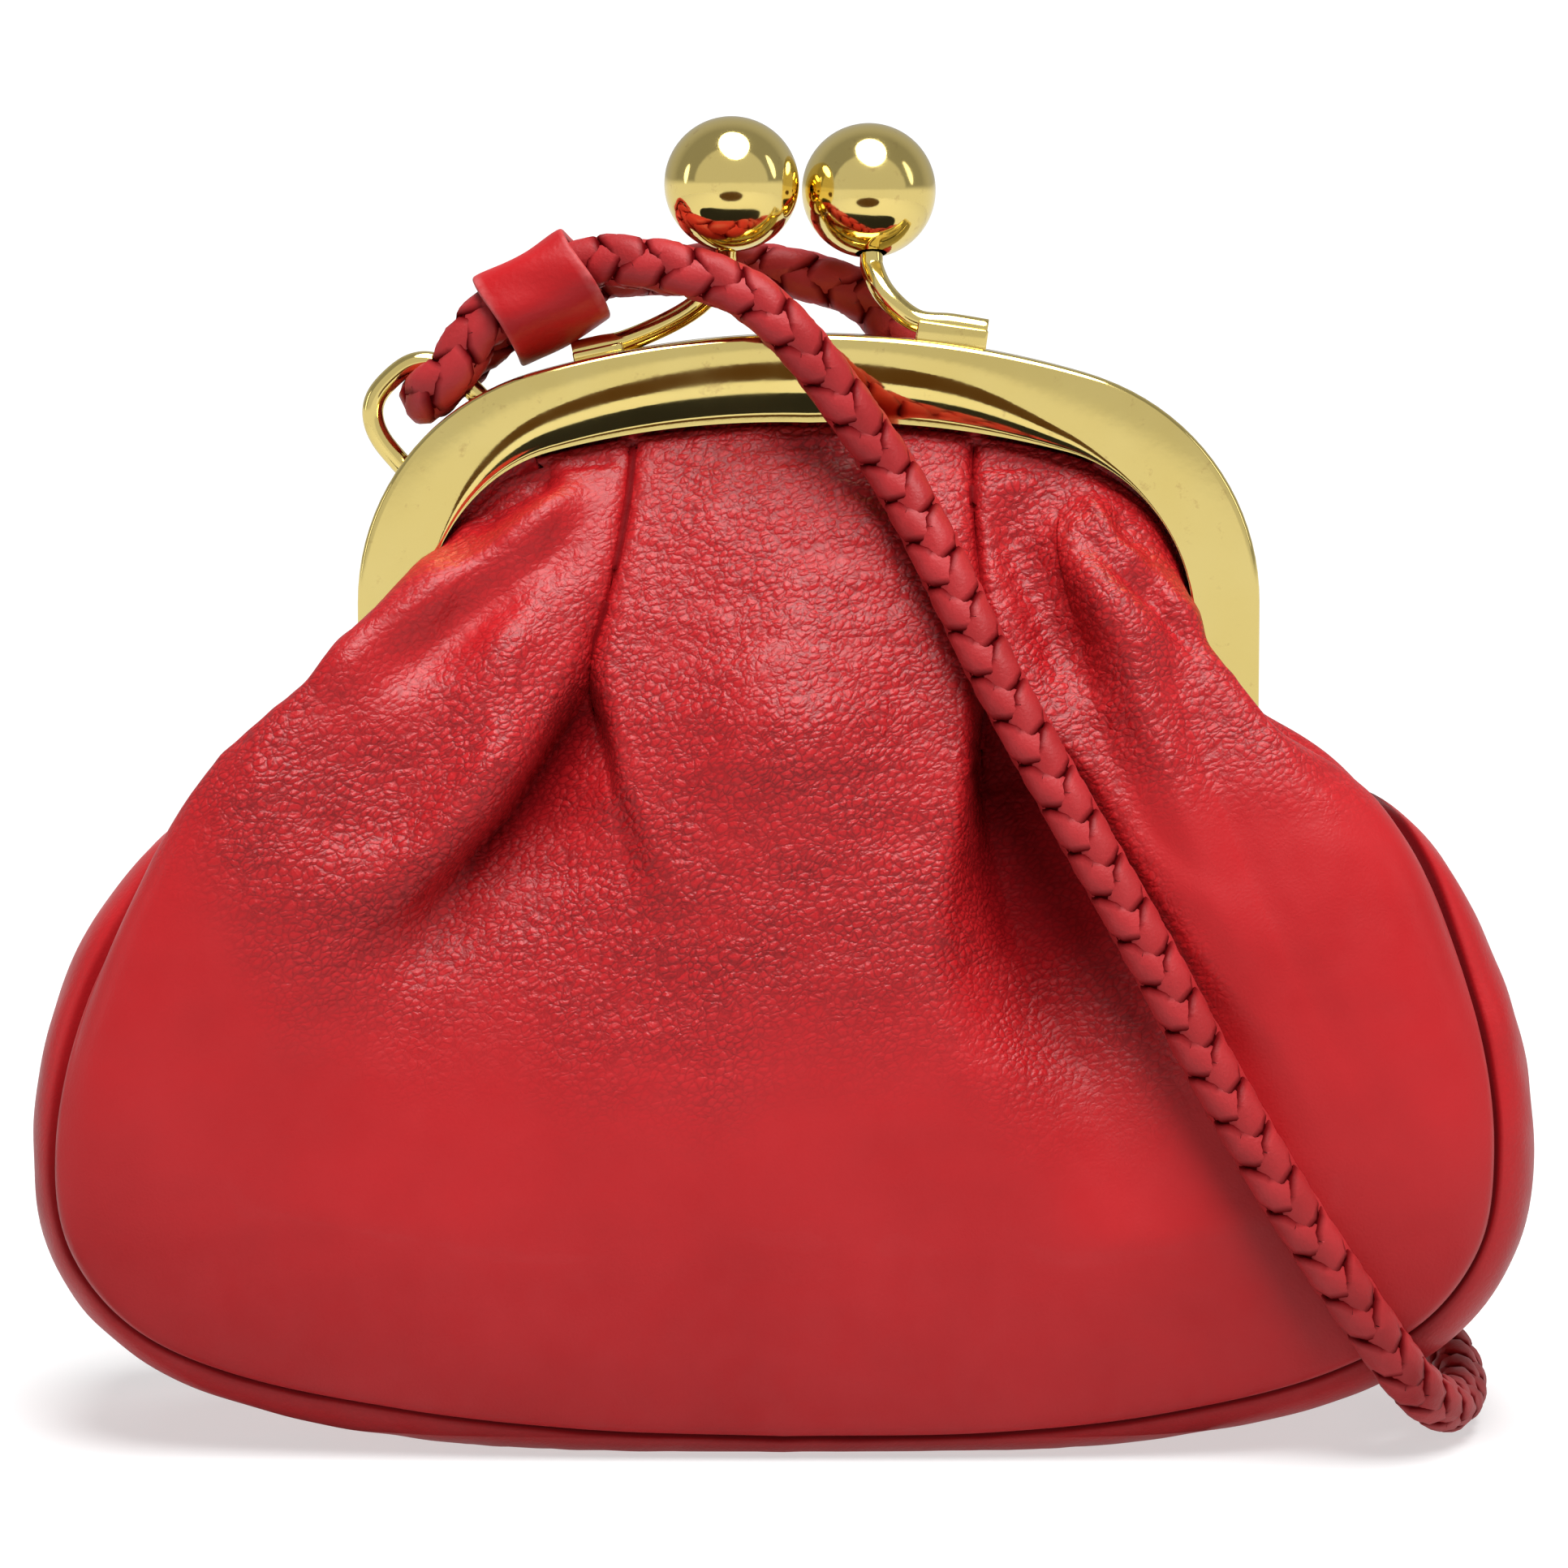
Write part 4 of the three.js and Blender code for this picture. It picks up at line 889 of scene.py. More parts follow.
arm_pieces = {name: clasp_arm(f"{name}_arm", arm) for name, arm in ARMS.items()}
print("arms", list(arm_pieces))


# %% Mirror the channel for the back half and join each half with its tabs and arm
def join(name, main, others):
    pick(main, *others)
    bpy.ops.object.join()
    main.name = name
    cover(main, gold_plate)
    bpy.ops.object.shade_smooth_by_angle(angle=math.radians(38))
    return main


pick(channel)
bpy.ops.object.duplicate()
back_channel = bpy.context.object
back_channel.scale = (1, -1, 1)
bpy.ops.object.transform_apply(scale=True)
in_edit_mode(back_channel, face_outward)
front_half = join("front_frame_half", channel, tabs[-1] + arm_pieces["front"])
back_half = join("back_frame_half", back_channel, tabs[1] + arm_pieces["back"])
print("halves", len(front_half.data.polygons), len(back_half.data.polygons), "faces")

# %% [markdown]
# ## Balls
# The two clasp balls are pressed spheres on the tips of the arms. The bottom of a fine sphere is cut
# away for the hole that the arm goes into, and the hole's rim is turned in. The ball is then turned so
# that the hole meets its arm. Both balls are pressed the same way.

# %% Press the balls
HOLE_AT = 0.976
RIM_STEPS = (0.5, 4)


def press_ball(name, arm):
    bpy.ops.mesh.primitive_uv_sphere_add(segments=64, ring_count=40, radius=BALL_RADIUS * MM)
    made = bpy.context.object
    made.name = name
    bpy.ops.object.mode_set(mode="EDIT")
    bpy.ops.mesh.select_all(action="DESELECT")
    bpy.ops.object.mode_set(mode="OBJECT")
    for face in made.data.polygons:
        face.select = face.center.z < -BALL_RADIUS * MM * HOLE_AT
    bpy.ops.object.mode_set(mode="EDIT")
    bpy.ops.mesh.delete(type="FACE")
    bpy.ops.mesh.select_all(action="DESELECT")
    bpy.ops.mesh.select_non_manifold()
    for depth in RIM_STEPS:
        bpy.ops.mesh.extrude_region_move(TRANSFORM_OT_translate={"value": (0, 0, depth * MM)})
    bpy.ops.mesh.select_all(action="SELECT")
    fill_ends()
    face_outward()
    bpy.ops.object.mode_set(mode="OBJECT")
    made.rotation_euler = arm_way(arm).to_track_quat("Z", "Y").to_euler()
    made.location = (Vector(arm["ball"]) + Vector((FRAME_X, 0, 0))) * MM
    bpy.ops.object.transform_apply(location=True, rotation=True)
    made.data.materials.append(gold_plate)
    bpy.ops.object.shade_smooth_by_angle(angle=math.radians(40))
    return made


balls = {name: press_ball(f"{name}_clasp_ball", arm) for name, arm in ARMS.items()}
print("balls", [ball.name for ball in balls.values()])

# %% [markdown]
# ## Strap ring and hinge rivets
# The ring is a thin wire loop whose feet go into the frame's shoulder, so it is bent from the same
# wire helper. A hinge rivet is a pin with a round head at each end: one cylinder whose ends are
# extruded and widened, made once and copied for the other leg.

# %% Bend the ring
ring_drop = CORNER_RADIUS - math.sqrt(CORNER_RADIUS**2 - RING_HALF**2)
RING_SUNK = 1.4
ring_points = [ring_place(-RING_HALF, -ring_drop - RING_SUNK, RING_Y)]
for k in range(11):
    turn = math.pi * (1 - k / 10)
    across = math.copysign(abs(math.cos(turn)) ** 0.75, math.cos(turn))
    ring_points.append(ring_place(RING_HALF * across, RING_HIGH * abs(math.sin(turn)) ** 0.75, RING_Y))
ring_points.append(ring_place(RING_HALF, -ring_drop - RING_SUNK, RING_Y))
ring = bent_wire("wire_ring", ring_points, RING_WIRE)
ring.data.materials.append(gold_plate)
bpy.ops.object.shade_smooth_by_angle(angle=math.radians(50))
print("ring, mm", [round(d / MM, 1) for d in ring.dimensions])


# %% Turn one rivet and copy it
PIN_RADIUS = 1.2
PIN_PAST_TAB = 0.3
HEAD_RADIUS = 2.0
HEAD_THICK = 0.8


def turn_rivet(name):
    inner, outer = TAB_INSET[1] + TAB_THICK + PIN_PAST_TAB, TAB_INSET[-1] - PIN_PAST_TAB
    bpy.ops.mesh.primitive_cylinder_add(
        vertices=32, radius=PIN_RADIUS * MM, depth=(inner - outer) * MM, rotation=(0, math.pi / 2, 0)
    )
    made = bpy.context.object
    made.name = name
    middle = (FRAME_X - HALF_WIDTH + (inner + outer) / 2) * MM
    made.location = (middle, 0, HINGE_Z * MM)
    bpy.ops.object.transform_apply(location=True, rotation=True)
    widen = HEAD_RADIUS / PIN_RADIUS
    for way in (-1, 1):
        bpy.ops.object.mode_set(mode="EDIT")
        bpy.ops.mesh.select_mode(type="FACE")
        bpy.ops.mesh.select_all(action="DESELECT")
        bpy.ops.object.mode_set(mode="OBJECT")
        for face in made.data.polygons:
            face.select = (face.center.x - middle) * way > (inner - outer) * 0.49 * MM
        bpy.ops.object.mode_set(mode="EDIT")
        bpy.ops.mesh.extrude_region_move()
        bpy.ops.transform.resize(value=(1, widen, widen), center_override=(middle, 0, HINGE_Z * MM))
        bpy.ops.mesh.extrude_region_move(TRANSFORM_OT_translate={"value": (HEAD_THICK * way * MM, 0, 0)})
        bpy.ops.object.mode_set(mode="OBJECT")
    in_edit_mode(made, face_outward)
    apply_modifier(made, "BEVEL", width=0.22 * MM, segments=3, limit_method="ANGLE", angle_limit=math.radians(50))
    made.data.materials.append(gold_plate)
    bpy.ops.object.shade_smooth_by_angle(angle=math.radians(50))
    return made


left_rivet = turn_rivet("left_hinge_rivet")
bpy.ops.object.duplicate()
right_rivet = bpy.context.object
right_rivet.name = "right_hinge_rivet"
right_rivet.data.transform(Matrix.Translation((2 * FRAME_X * MM, 0, 0)) @ Matrix.Scale(-1, 4, (1, 0, 0)))
in_edit_mode(right_rivet, face_outward)
print("rivets", left_rivet.name, right_rivet.name)

# %% [markdown]
# ## The pouch's lines
# A pattern cutter would describe the pouch by a few lines: the seam that joins each panel to the
# gusset, and the ribs that run from the frame's mouth over the swelling front to that seam. Short
# tables hold those lines, station by station from the left hinge to the right one, and they are the
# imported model's own. The seam is then eased out by up to two millimetres where the photograph shows the
# pouch fuller. The two darts under the frame and the soft swells are added to the ribs.

# %% Seam and ribs
LEATHER = 1.5
GAP = 0.3
ROLL = 1.1
FLANGE_LONG = 2.2
SEWN_TIGHT = 0.17
SEAM = [
    [0, 0.026, 0.058, 0.098, 0.139, 0.177, 0.21, 0.244, 0.284, 0.35, 0.42, 0.5],
    [55.5, 63, 70, 75.6, 79, 80, 78.6, 72.9, 62.5, 43.6, 23.4, 0],
    [73.8, 74, 68.2, 58, 46.6, 35.4, 25.6, 17.6, 11.8, 7.2, 4.9, 4.3],
    [6, 8.5, 12, 16, 19, 20.8, 21.6, 22, 22, 22, 22, 22],
    [-2, 0, 2.6, 4.4, 5.6, 6.2, 6.5, 6.7, 6.7, 6.2, 5.6, 5.4],
]
SEAM_X, SEAM_Z, SEAM_HALF_DEPTH, SEAM_SWELL = 1, 2, 3, 4
RIBS = [
    [0, 0.05, 0.1, 0.17, 0.27, 0.38, 0.5, 0.62, 0.73, 0.83, 0.9, 0.95, 1],
    [5, 5, 6.5, 9, 14, 21, 23, 21, 14, 7, 5, 5, 5],
    [8, 12, 14, 15, 15, 15, 15.5, 15, 15, 15, 14, 12, 8],
    [0, 6, 8, 4, 0, 0, 0, 0, 0, 0, 0, 0, 0],
    [-3, 0, 5, 12, 20, 27, 30, 27, 20, 12, 5, 1, -3],
    [4, 8, 9, 9, 9, 9, 9.5, 9, 9, 9, 9, 8, 4],
    [4, 15, 18, 14, 5, 0, 0, 0, 1, 3, 6, 6, 3],
]
RIB_LAUNCH, RIB_FORWARD, RIB_RISE, RIB_REACH, RIB_CROWN, RIB_LIFT = 1, 2, 3, 4, 5, 6
SEAM_MOVE = [
    [0, 0.1, 0.15, 0.19, 0.23, 0.26, 0.3, 0.36, 0.5, 0.64, 0.72, 0.8, 1],
    [0, 0.5, 1.5, 2.2, 1.9, 1.4, 0.7, 0.4, 0.7, 0.9, 0.5, 0, 0],
]


def near_hinge(at):
    return np.minimum(at, 1 - at)


def outline_at(at):
    shift = FRAME_X * (1 - smooth(0, 0.12, near_hinge(at)))
    x = np.where(at < 0.5, -1, 1) * through(SEAM, SEAM_X, near_hinge(at)) + shift
    return x, through(SEAM, SEAM_Z, near_hinge(at))


def seam_at(at):
    """Seam's point, the way out of the pouch, half the gusset's depth, its swell, and a flange's distance."""
    low, high = np.maximum(at - 0.002, 0), np.minimum(at + 0.002, 1)
    (ax, az), (bx, bz) = outline_at(low), outline_at(high)
    length = np.hypot(bx - ax, bz - az)
    depth = through(SEAM, SEAM_HALF_DEPTH, near_hinge(at))
    slant = (
        through(SEAM, SEAM_HALF_DEPTH, near_hinge(high)) - through(SEAM, SEAM_HALF_DEPTH, near_hinge(low))
    ) / length
    flange = (GAP + LEATHER) / 2 * np.hypot(1, slant) + 0.15 * (1 - smooth(0, 0.12, near_hinge(at)))
    x, z = outline_at(at)
    out_x, out_z, move = (bz - az) / length, -(bx - ax) / length, through(SEAM_MOVE, 1, at)
    swell = through(SEAM, SEAM_SWELL, near_hinge(at)) - move
    return x + out_x * move, z + out_z * move, out_x, out_z, depth, swell, flange


seam_x, seam_z = outline_at(np.linspace(0, 1, 400))
print("seam length, mm", round(float(np.sum(np.hypot(np.diff(seam_x), np.diff(seam_z))))))


# %% Ribs from the mouth to the seam
def rib_at(at, is_front):
    """The rib's cubic curve at a station, and the two ways of placing points at its ends."""
    trimmed = 0.015 + 0.97 * at
    edge_x, edge_z, in_x, in_z = frame_edge(trimmed)
    width = band_width(trimmed)
    sx, sz, out_x, out_z, half_depth, _, flange = seam_at(at)
    mouth_y, flange_y = HALF_GAP + 1 + 0.5 + LEATHER / 2, half_depth + flange
    plain = at if is_front else np.maximum(at, 1 - at)

    def into(d, y):
        return np.stack([FRAME_X + edge_x + in_x * d, -y + 0 * d, edge_z + in_z * d], axis=-1)

    def from_seam(o, y):
        return np.stack([sx + out_x * o, -y + 0 * o, sz + out_z * o], axis=-1)

    reach, crown = through(RIBS, RIB_REACH, plain), through(RIBS, RIB_CROWN, plain)
    turn = np.arctan2(crown, np.maximum(reach, 0.1))
    start = into(width + 0.5, mouth_y)
    first = into(width + 0.5 + through(RIBS, RIB_LAUNCH, plain), mouth_y + through(RIBS, RIB_FORWARD, plain))
    first[..., 2] += through(RIBS, RIB_RISE, plain)
    end = from_seam(ROLL * np.sin(turn) - ROLL, flange_y + ROLL + ROLL * np.cos(turn))
    handle = np.stack([-out_x * reach, -crown, -out_z * reach + through(RIBS, RIB_LIFT, plain)], axis=-1)
    curve = (start, first, end + handle, end)
    return curve, into, from_seam, width, mouth_y, flange_y, turn


def on_curve(curve, v):
    a, b, c, d = curve
    v = v[..., None]
    return (1 - v) ** 3 * a + 3 * v * (1 - v) ** 2 * b + 3 * v**2 * (1 - v) * c + v**3 * d


middle_rib = on_curve(rib_at(np.array([0.5]), True)[0], np.array([0.5]))
print("middle of the middle rib, mm", np.round(middle_rib[0], 1))

# %% [markdown]
# ## Darts and swells
# Two darts take up the fullness under the frame. Each is sewn shut from the mouth down, which shows as
# a thin groove; where the stitching ends the leather opens into a valley with a steep puffed wall on
# the inner side and an easy slope on the outer side. The swells are the soft puffs between them.

# %% Darts and swells as depths on a rib
DARTS = [
    {
        "outside": -1,
        "sewn_end": 0.29,
        "floor": (0.25, 1.0),
        "outer_rise": 0.02,
        "brow": 1.6,
        "valley": [
            [0, 0.1, 0.21, 0.29, 0.346, 0.39, 0.43, 0.47, 0.52, 0.65, 0.8],
            [0.3655, 0.359, 0.3525, 0.349, 0.3647, 0.377, 0.3865, 0.395, 0.406, 0.415, 0.418],
            [0.01, 0.01, 0.01, 0.004, 0.027, 0.048, 0.067, 0.089, 0.11, 0.13, 0.13],
            [0, 0, 0, 3, 8, 9, 8.5, 7, 4.5, 1.5, 0],
        ],
    },
    {
        "outside": 1,
        "sewn_end": 0.3,
        "floor": (1.0, 0.75),
        "outer_rise": 0.012,
        "brow": 0.4,
        "valley": [
            [0, 0.08, 0.2, 0.27, 0.324, 0.346, 0.383, 0.447, 0.511, 0.597, 0.676, 0.8],
            [0.6276, 0.6284, 0.6312, 0.6284, 0.6243, 0.6202, 0.615, 0.6161, 0.6215, 0.634, 0.652, 0.66],
            [0.01, 0.01, 0.01, 0.008, 0.012, 0.03, 0.055, 0.07, 0.073, 0.063, 0.05, 0.04],
            [0, 0, 0, 1, 5, 8, 10, 9.5, 8, 5.5, 3, 0],
        ],
    },
]
SEWN_DEEP = 1.7
SEWN_WIDE = 0.005
SWELLS = [
    (0.495, 0.075, 0.34, 0.22, 1.9),
    (0.488, 0.064, 0.338, 0.07, 2.4),
    (0.29, 0.045, 0.28, 0.22, 2),
    (0.69, 0.03, 0.18, 0.16, -2),
    (0.755, 0.035, 0.3, 0.25, 2),
]


def dart_line(dart, v):
    return through(dart["valley"], 1, np.minimum(v, dart["valley"][0][-1]))


def sewn_part(dart, v):
    return smooth(0, 0.03, v) * (1 - smooth(dart["sewn_end"], dart["sewn_end"] + 0.06, v))


def dart_depth(at, v):
    depth = 0
    for dart in DARTS:
        offset = (at - dart_line(dart, v)) * dart["outside"]
        depth = depth + SEWN_DEEP * sewn_part(dart, v) * np.exp(-((np.abs(offset) / SEWN_WIDE) ** 1.3))
        width = through(dart["valley"], 2, np.minimum(v, dart["valley"][0][-1]))
        wall = 0.013 + 0.05 * smooth(0.36, 0.6, v)
        rise = dart["outer_rise"] + 0.07 * smooth(0.44, 0.68, v)
        inner = smooth(-wall, 0, offset)
        outer = 1 - smooth(width - 0.3 * rise, width + 0.7 * rise, offset)
        near, far = dart["floor"]
        near = near + (1 - near) * (1 - smooth(dart["sewn_end"] + 0.02, dart["sewn_end"] + 0.12, v))
        floor = near + (far - near) * np.clip(offset / width, 0, 1)
        depth = depth + np.maximum(through(dart["valley"], 3, np.minimum(v, 0.8)), 0) * inner * outer * floor
        brow = np.exp(-(((offset - width - 1.5 * rise) / (0.9 * rise)) ** 2))
        opened = smooth(dart["sewn_end"], dart["sewn_end"] + 0.1, v) * (1 - smooth(0.48, 0.66, v))
        depth = depth - dart["brow"] * brow * opened
    return depth


def swell_height(at, v):
    height = 0
    for where_at, spread, along, length, high in SWELLS:
        height = height + high * np.exp(-(((at - where_at) / spread) ** 2) - ((v - along) / length) ** 2)
    return height * smooth(0, 0.12, v)


def leaned(at, v):
    """Grid lines near a dart lean with it."""
    moved = at
    for dart in DARTS:
        mouth = dart_line(dart, np.zeros(1))[0]
        near = np.exp(-(((at - mouth) / 0.05) ** 2))
        moved = moved + (dart_line(dart, v) - mouth) * near * (1 - smooth(0.8, 1, v))
    return moved


print("deepest dart, mm", round(float(dart_depth(np.array([0.385]), np.array([0.43]))[0]), 1))

# %% [markdown]
# ## The panels
# A panel runs from the grip inside the channel, over the ribs, round the turned seam and onto the
# flange that is sewn to the gusset. The grid's rows are spread along that run, closer together near
# the mouth where the leather is pleated. Vertex moves then add what a table of ribs is too coarse for:
# the ridge on the left shoulder, the wrinkled hollow on the right one, puckers along the darts and
# under the lip, and small waves all over. Solidify gives the leather its thickness.

# %% Rows of a panel from the grip to the flange
PANEL_ACROSS = 290
RIB_ROWS = 136
ROLL_ROWS = 9
PANEL_ALONG = 2 + RIB_ROWS + ROLL_ROWS + 2


def panel_middle(at, row, is_front):
    """Middle surface of a panel; row counts from the grip to the flange's end."""
    v = np.clip((row - 2) / RIB_ROWS, 0, 1)
    v = 0.66 * v + 0.34 * v**2
    here = np.where(row > 2, leaned(at, v), at)
    curve, *_ = rib_at(here, is_front)
    point = on_curve(curve, v)
    point[:, 1] += (dart_depth(here, v) - swell_height(here, v)) * (1 - smooth(0.85, 1, v))
    _, into, from_seam, width, mouth_y, flange_y, turn = rib_at(at, is_front)
    in_grip = into(width - 5 + 2.75 * row, mouth_y)
    share = np.clip((row - 2 - RIB_ROWS) / ROLL_ROWS, 0, 1)
    angle = turn + (math.pi - turn) * share
    rolled = from_seam(ROLL * np.sin(angle) - ROLL, flange_y + ROLL + ROLL * np.cos(angle))
    beyond = np.clip(row - 2 - RIB_ROWS - ROLL_ROWS, 0, 2) / 2
    flange = from_seam(-ROLL - FLANGE_LONG * beyond, flange_y)
    point = np.where((row < 2)[:, None], in_grip, point)
    point = np.where((row > 2 + RIB_ROWS)[:, None], rolled, point)
    return np.where((beyond > 0)[:, None], flange, point), here, v


def grid_normals(grid):
    """Outward normals of a grid of points, from its neighbours."""
    normal = np.cross(np.gradient(grid, axis=1), np.gradient(grid, axis=0))
    return normal / np.maximum(np.linalg.norm(normal, axis=2), 1e-9)[:, :, None]


def as_grid(values):
    return values.reshape(PANEL_ALONG + 1, PANEL_ACROSS + 1, -1)


print("rows", PANEL_ALONG + 1, "columns", PANEL_ACROSS + 1)

# %% Folds drawn on the front as a pencil would: a line of points, a half width and a height
FRONT_FOLDS = [
    ("left shoulder ridge", [(-22, 111.5), (-28, 106.2), (-33, 102), (-40, 97.5), (-47, 92.5)], 2.3, 2.0),
    ("hollow under the lip", [(-25, 112.6), (-30, 110.4), (-34, 108), (-38, 105.2)], 1.7, -2.0),
    ("hollow under the ridge", [(-21, 107.5), (-28.5, 101.6), (-34.5, 96.2), (-41, 91), (-48, 86.5)], 3.0, -1.3),
    ("left shoulder edge", [(-37, 105), (-43, 99.8), (-48, 95), (-55, 87.5)], 4.0, 1.5),
    ("left shoulder swell", [(-28, 96), (-38, 88), (-50, 81)], 4.5, 0.8),
    ("right hollow", [(25, 111.5), (26.5, 104.5), (28.5, 98.5), (31.5, 92), (35.5, 85.5)], 2.7, -1.5),
    ("right ridge", [(29.5, 109.5), (33.5, 101.5), (38.5, 96), (46, 89)], 3.6, 1.8),
    ("crease beside the ridge", [(33.5, 106), (36, 102.8), (41.5, 97.4), (48, 90.5)], 1.0, -1.1),
    ("flap beside the crease", [(37.4, 104.9), (43, 99.2), (49.2, 92.6)], 1.2, 0.9),
    ("hollow by the right leg", [(37.6, 108.6), (40.5, 102), (44, 96)], 1.6, -0.7),
    ("small fold by the right leg", [(34, 110.5), (38, 104.5), (42.5, 99.3)], 0.9, 0.7),
    ("left lip crease", [(-27, 112.4), (-22, 113.2), (-18, 113.1)], 0.6, -0.5),
    ("right lip crease", [(22.5, 112.9), (27, 112.7), (31, 111.8)], 0.6, -0.5),
    ("left valley tail", [(-34, 65.5), (-40, 61), (-52, 58)], 4.0, -0.8),
]


def beside(path, x, z):
    """Distance of points from a drawn line, and how far along it they are."""
    best, along, run = np.full(len(x), 1e9), np.zeros(len(x)), 0.0
    for (ax, az), (bx, bz) in zip(path, path[1:]):
        length = math.hypot(bx - ax, bz - az)
        t = np.clip(((x - ax) * (bx - ax) + (z - az) * (bz - az)) / length**2, 0, 1)
        distance = np.hypot(x - ax - t * (bx - ax), z - az - t * (bz - az))
        nearer = distance < best
        best = np.where(nearer, distance, best)
        along = np.where(nearer, run + t * length, along)
        run += length
    return best, along, run


def fold_heights(x, z):
    height = 0
    for _, path, half_width, high in FRONT_FOLDS:
        distance, along, run = beside(path, x, z)
        fade = smooth(0, 0.25 * run, along) * (1 - smooth(0.7 * run, run, along))
        height = height + high * fade * np.exp(-((distance / half_width) ** 2))
    return height


print("folds drawn:", len(FRONT_FOLDS))


# %% Puckers, ripples and small waves
def waves(x, y, z, seed, count, shortest, longest, flatness):
    """Sum of plane waves in fixed random directions; flatness stretches them sideways."""
    chance = np.random.default_rng(seed)
    total = 0
    for _ in range(count):
        way = chance.normal(size=3) * (1 / flatness, 1, 1)
        way *= 2 * math.pi / chance.uniform(shortest, longest) / np.linalg.norm(way)
        total = total + np.sin(x * way[0] + y * way[1] + z * way[2] + chance.uniform(0, 2 * math.pi))
    return total / math.sqrt(count / 2)


def dart_puckers(at, v):
    """Short ripples that the stitching pulls in on both sides of a dart."""
    height = 0
    for dart in DARTS:
        offset = (at - dart_line(dart, v)) * 200
        strength = smooth(0.1, 0.26, v) * (1 - smooth(dart["sewn_end"] + 0.03, dart["sewn_end"] + 0.1, v))
        ripple = np.sin(2 * math.pi * (v * 48 + 0.03 * offset**2 + 0.4 * np.sin(offset)))
        away = np.abs(offset)
        height = height + 0.13 * ripple * strength * np.exp(-((away / 4.2) ** 1.5)) * smooth(0.6, 1.8, away)
    return height


def lip_puckers(v, x):
    """Creases that run along the lip where the leather is gathered into the channel."""
    patch = 0.35 + 0.65 * smooth(-0.2, 0.6, np.sin(x / 6.5 + 1) + 0.6 * np.sin(x / 2.9))
    crease = np.sin(2 * math.pi * (v * 46 + 0.25 * np.sin(x / 3.1)))
    return 0.24 * crease * np.exp(-v / 0.06) * patch * smooth(0.005, 0.02, v)


RIPPLES = [
    ([(26, 108), (28.5, 101), (32, 93.5), (37.5, 86)], 5.0, 2.1),
    ([(21.8, 85), (24, 76), (27.5, 66), (33, 55)], 5.5, 2.6),
]
GRAIN_BORDER = [[-90, -65, -55, -35, -15, 0, 20, 32, 45, 60, 90], [78, 67, 56, 47, 45, 47, 46, 44, 46, 60, 72]]


def grain_share(p):
    """How strongly the wrinkled grain shows: all over the pleated upper half, fading out below."""
    x, z = p[:, 0], p[:, 2]
    border = through(GRAIN_BORDER, 1, x) + 2.5 * np.sin(x / 7) + 1.5 * np.sin(x / 2.7 + 1)
    beyond_strap = smooth(2, 9, x - 24 - 0.56 * (89 - z)) * (1 - smooth(70, 84, z))
    from_ridge, _, _ = beside(FRONT_FOLDS[0][1], x, z + 2)
    stretched = 0.6 * np.exp(-((from_ridge / 6) ** 2))
    return smooth(border - 11, border + 13, z) * (1 - beyond_strap) * (1 - stretched)


def off_edges(v):
    """Keeps the small moves away from the mouth and the seam."""
    return smooth(0, 0.03, v) * (1 - smooth(0.9, 0.985, v))


def front_details(at, v, p):
    x, y, z = p.T
    upper = grain_share(p)
    height = fold_heights(x, z) + dart_puckers(at, v) + lip_puckers(v, x)
    height = height + (0.02 + 0.07 * upper) * waves(x, y, z, 5, 26, 5, 13, 2.2)
    height = height + 0.03 * upper * waves(x, y, z, 8, 30, 2.2, 4.0, 1.8)
    for path, reach, step in RIPPLES:
        distance, along, run = beside(path, x, z)
        ripple = np.sin(2 * math.pi * (along / step + 0.2 * np.sin(distance * 1.3)))
        fade = smooth(0, 4, along) * (1 - smooth(run - 6, run, along))
        height = height + 0.16 * ripple * np.exp(-((distance / reach) ** 2)) * fade
    return height * off_edges(v)


def back_details(at, v, p):
    x, y, z = p.T
    upper = smooth(40, 62, z)
    height = dart_puckers(at, v) + lip_puckers(v, x)
    height = height + (0.02 + 0.06 * upper) * waves(x, y, z, 11, 26, 5, 13, 2.2)
    return height * off_edges(v)


middle_wave = waves(np.zeros(1), np.zeros(1), np.zeros(1), 5, 26, 5, 13, 2.2)
print("waves at the middle, mm", round(float(middle_wave[0]), 2))


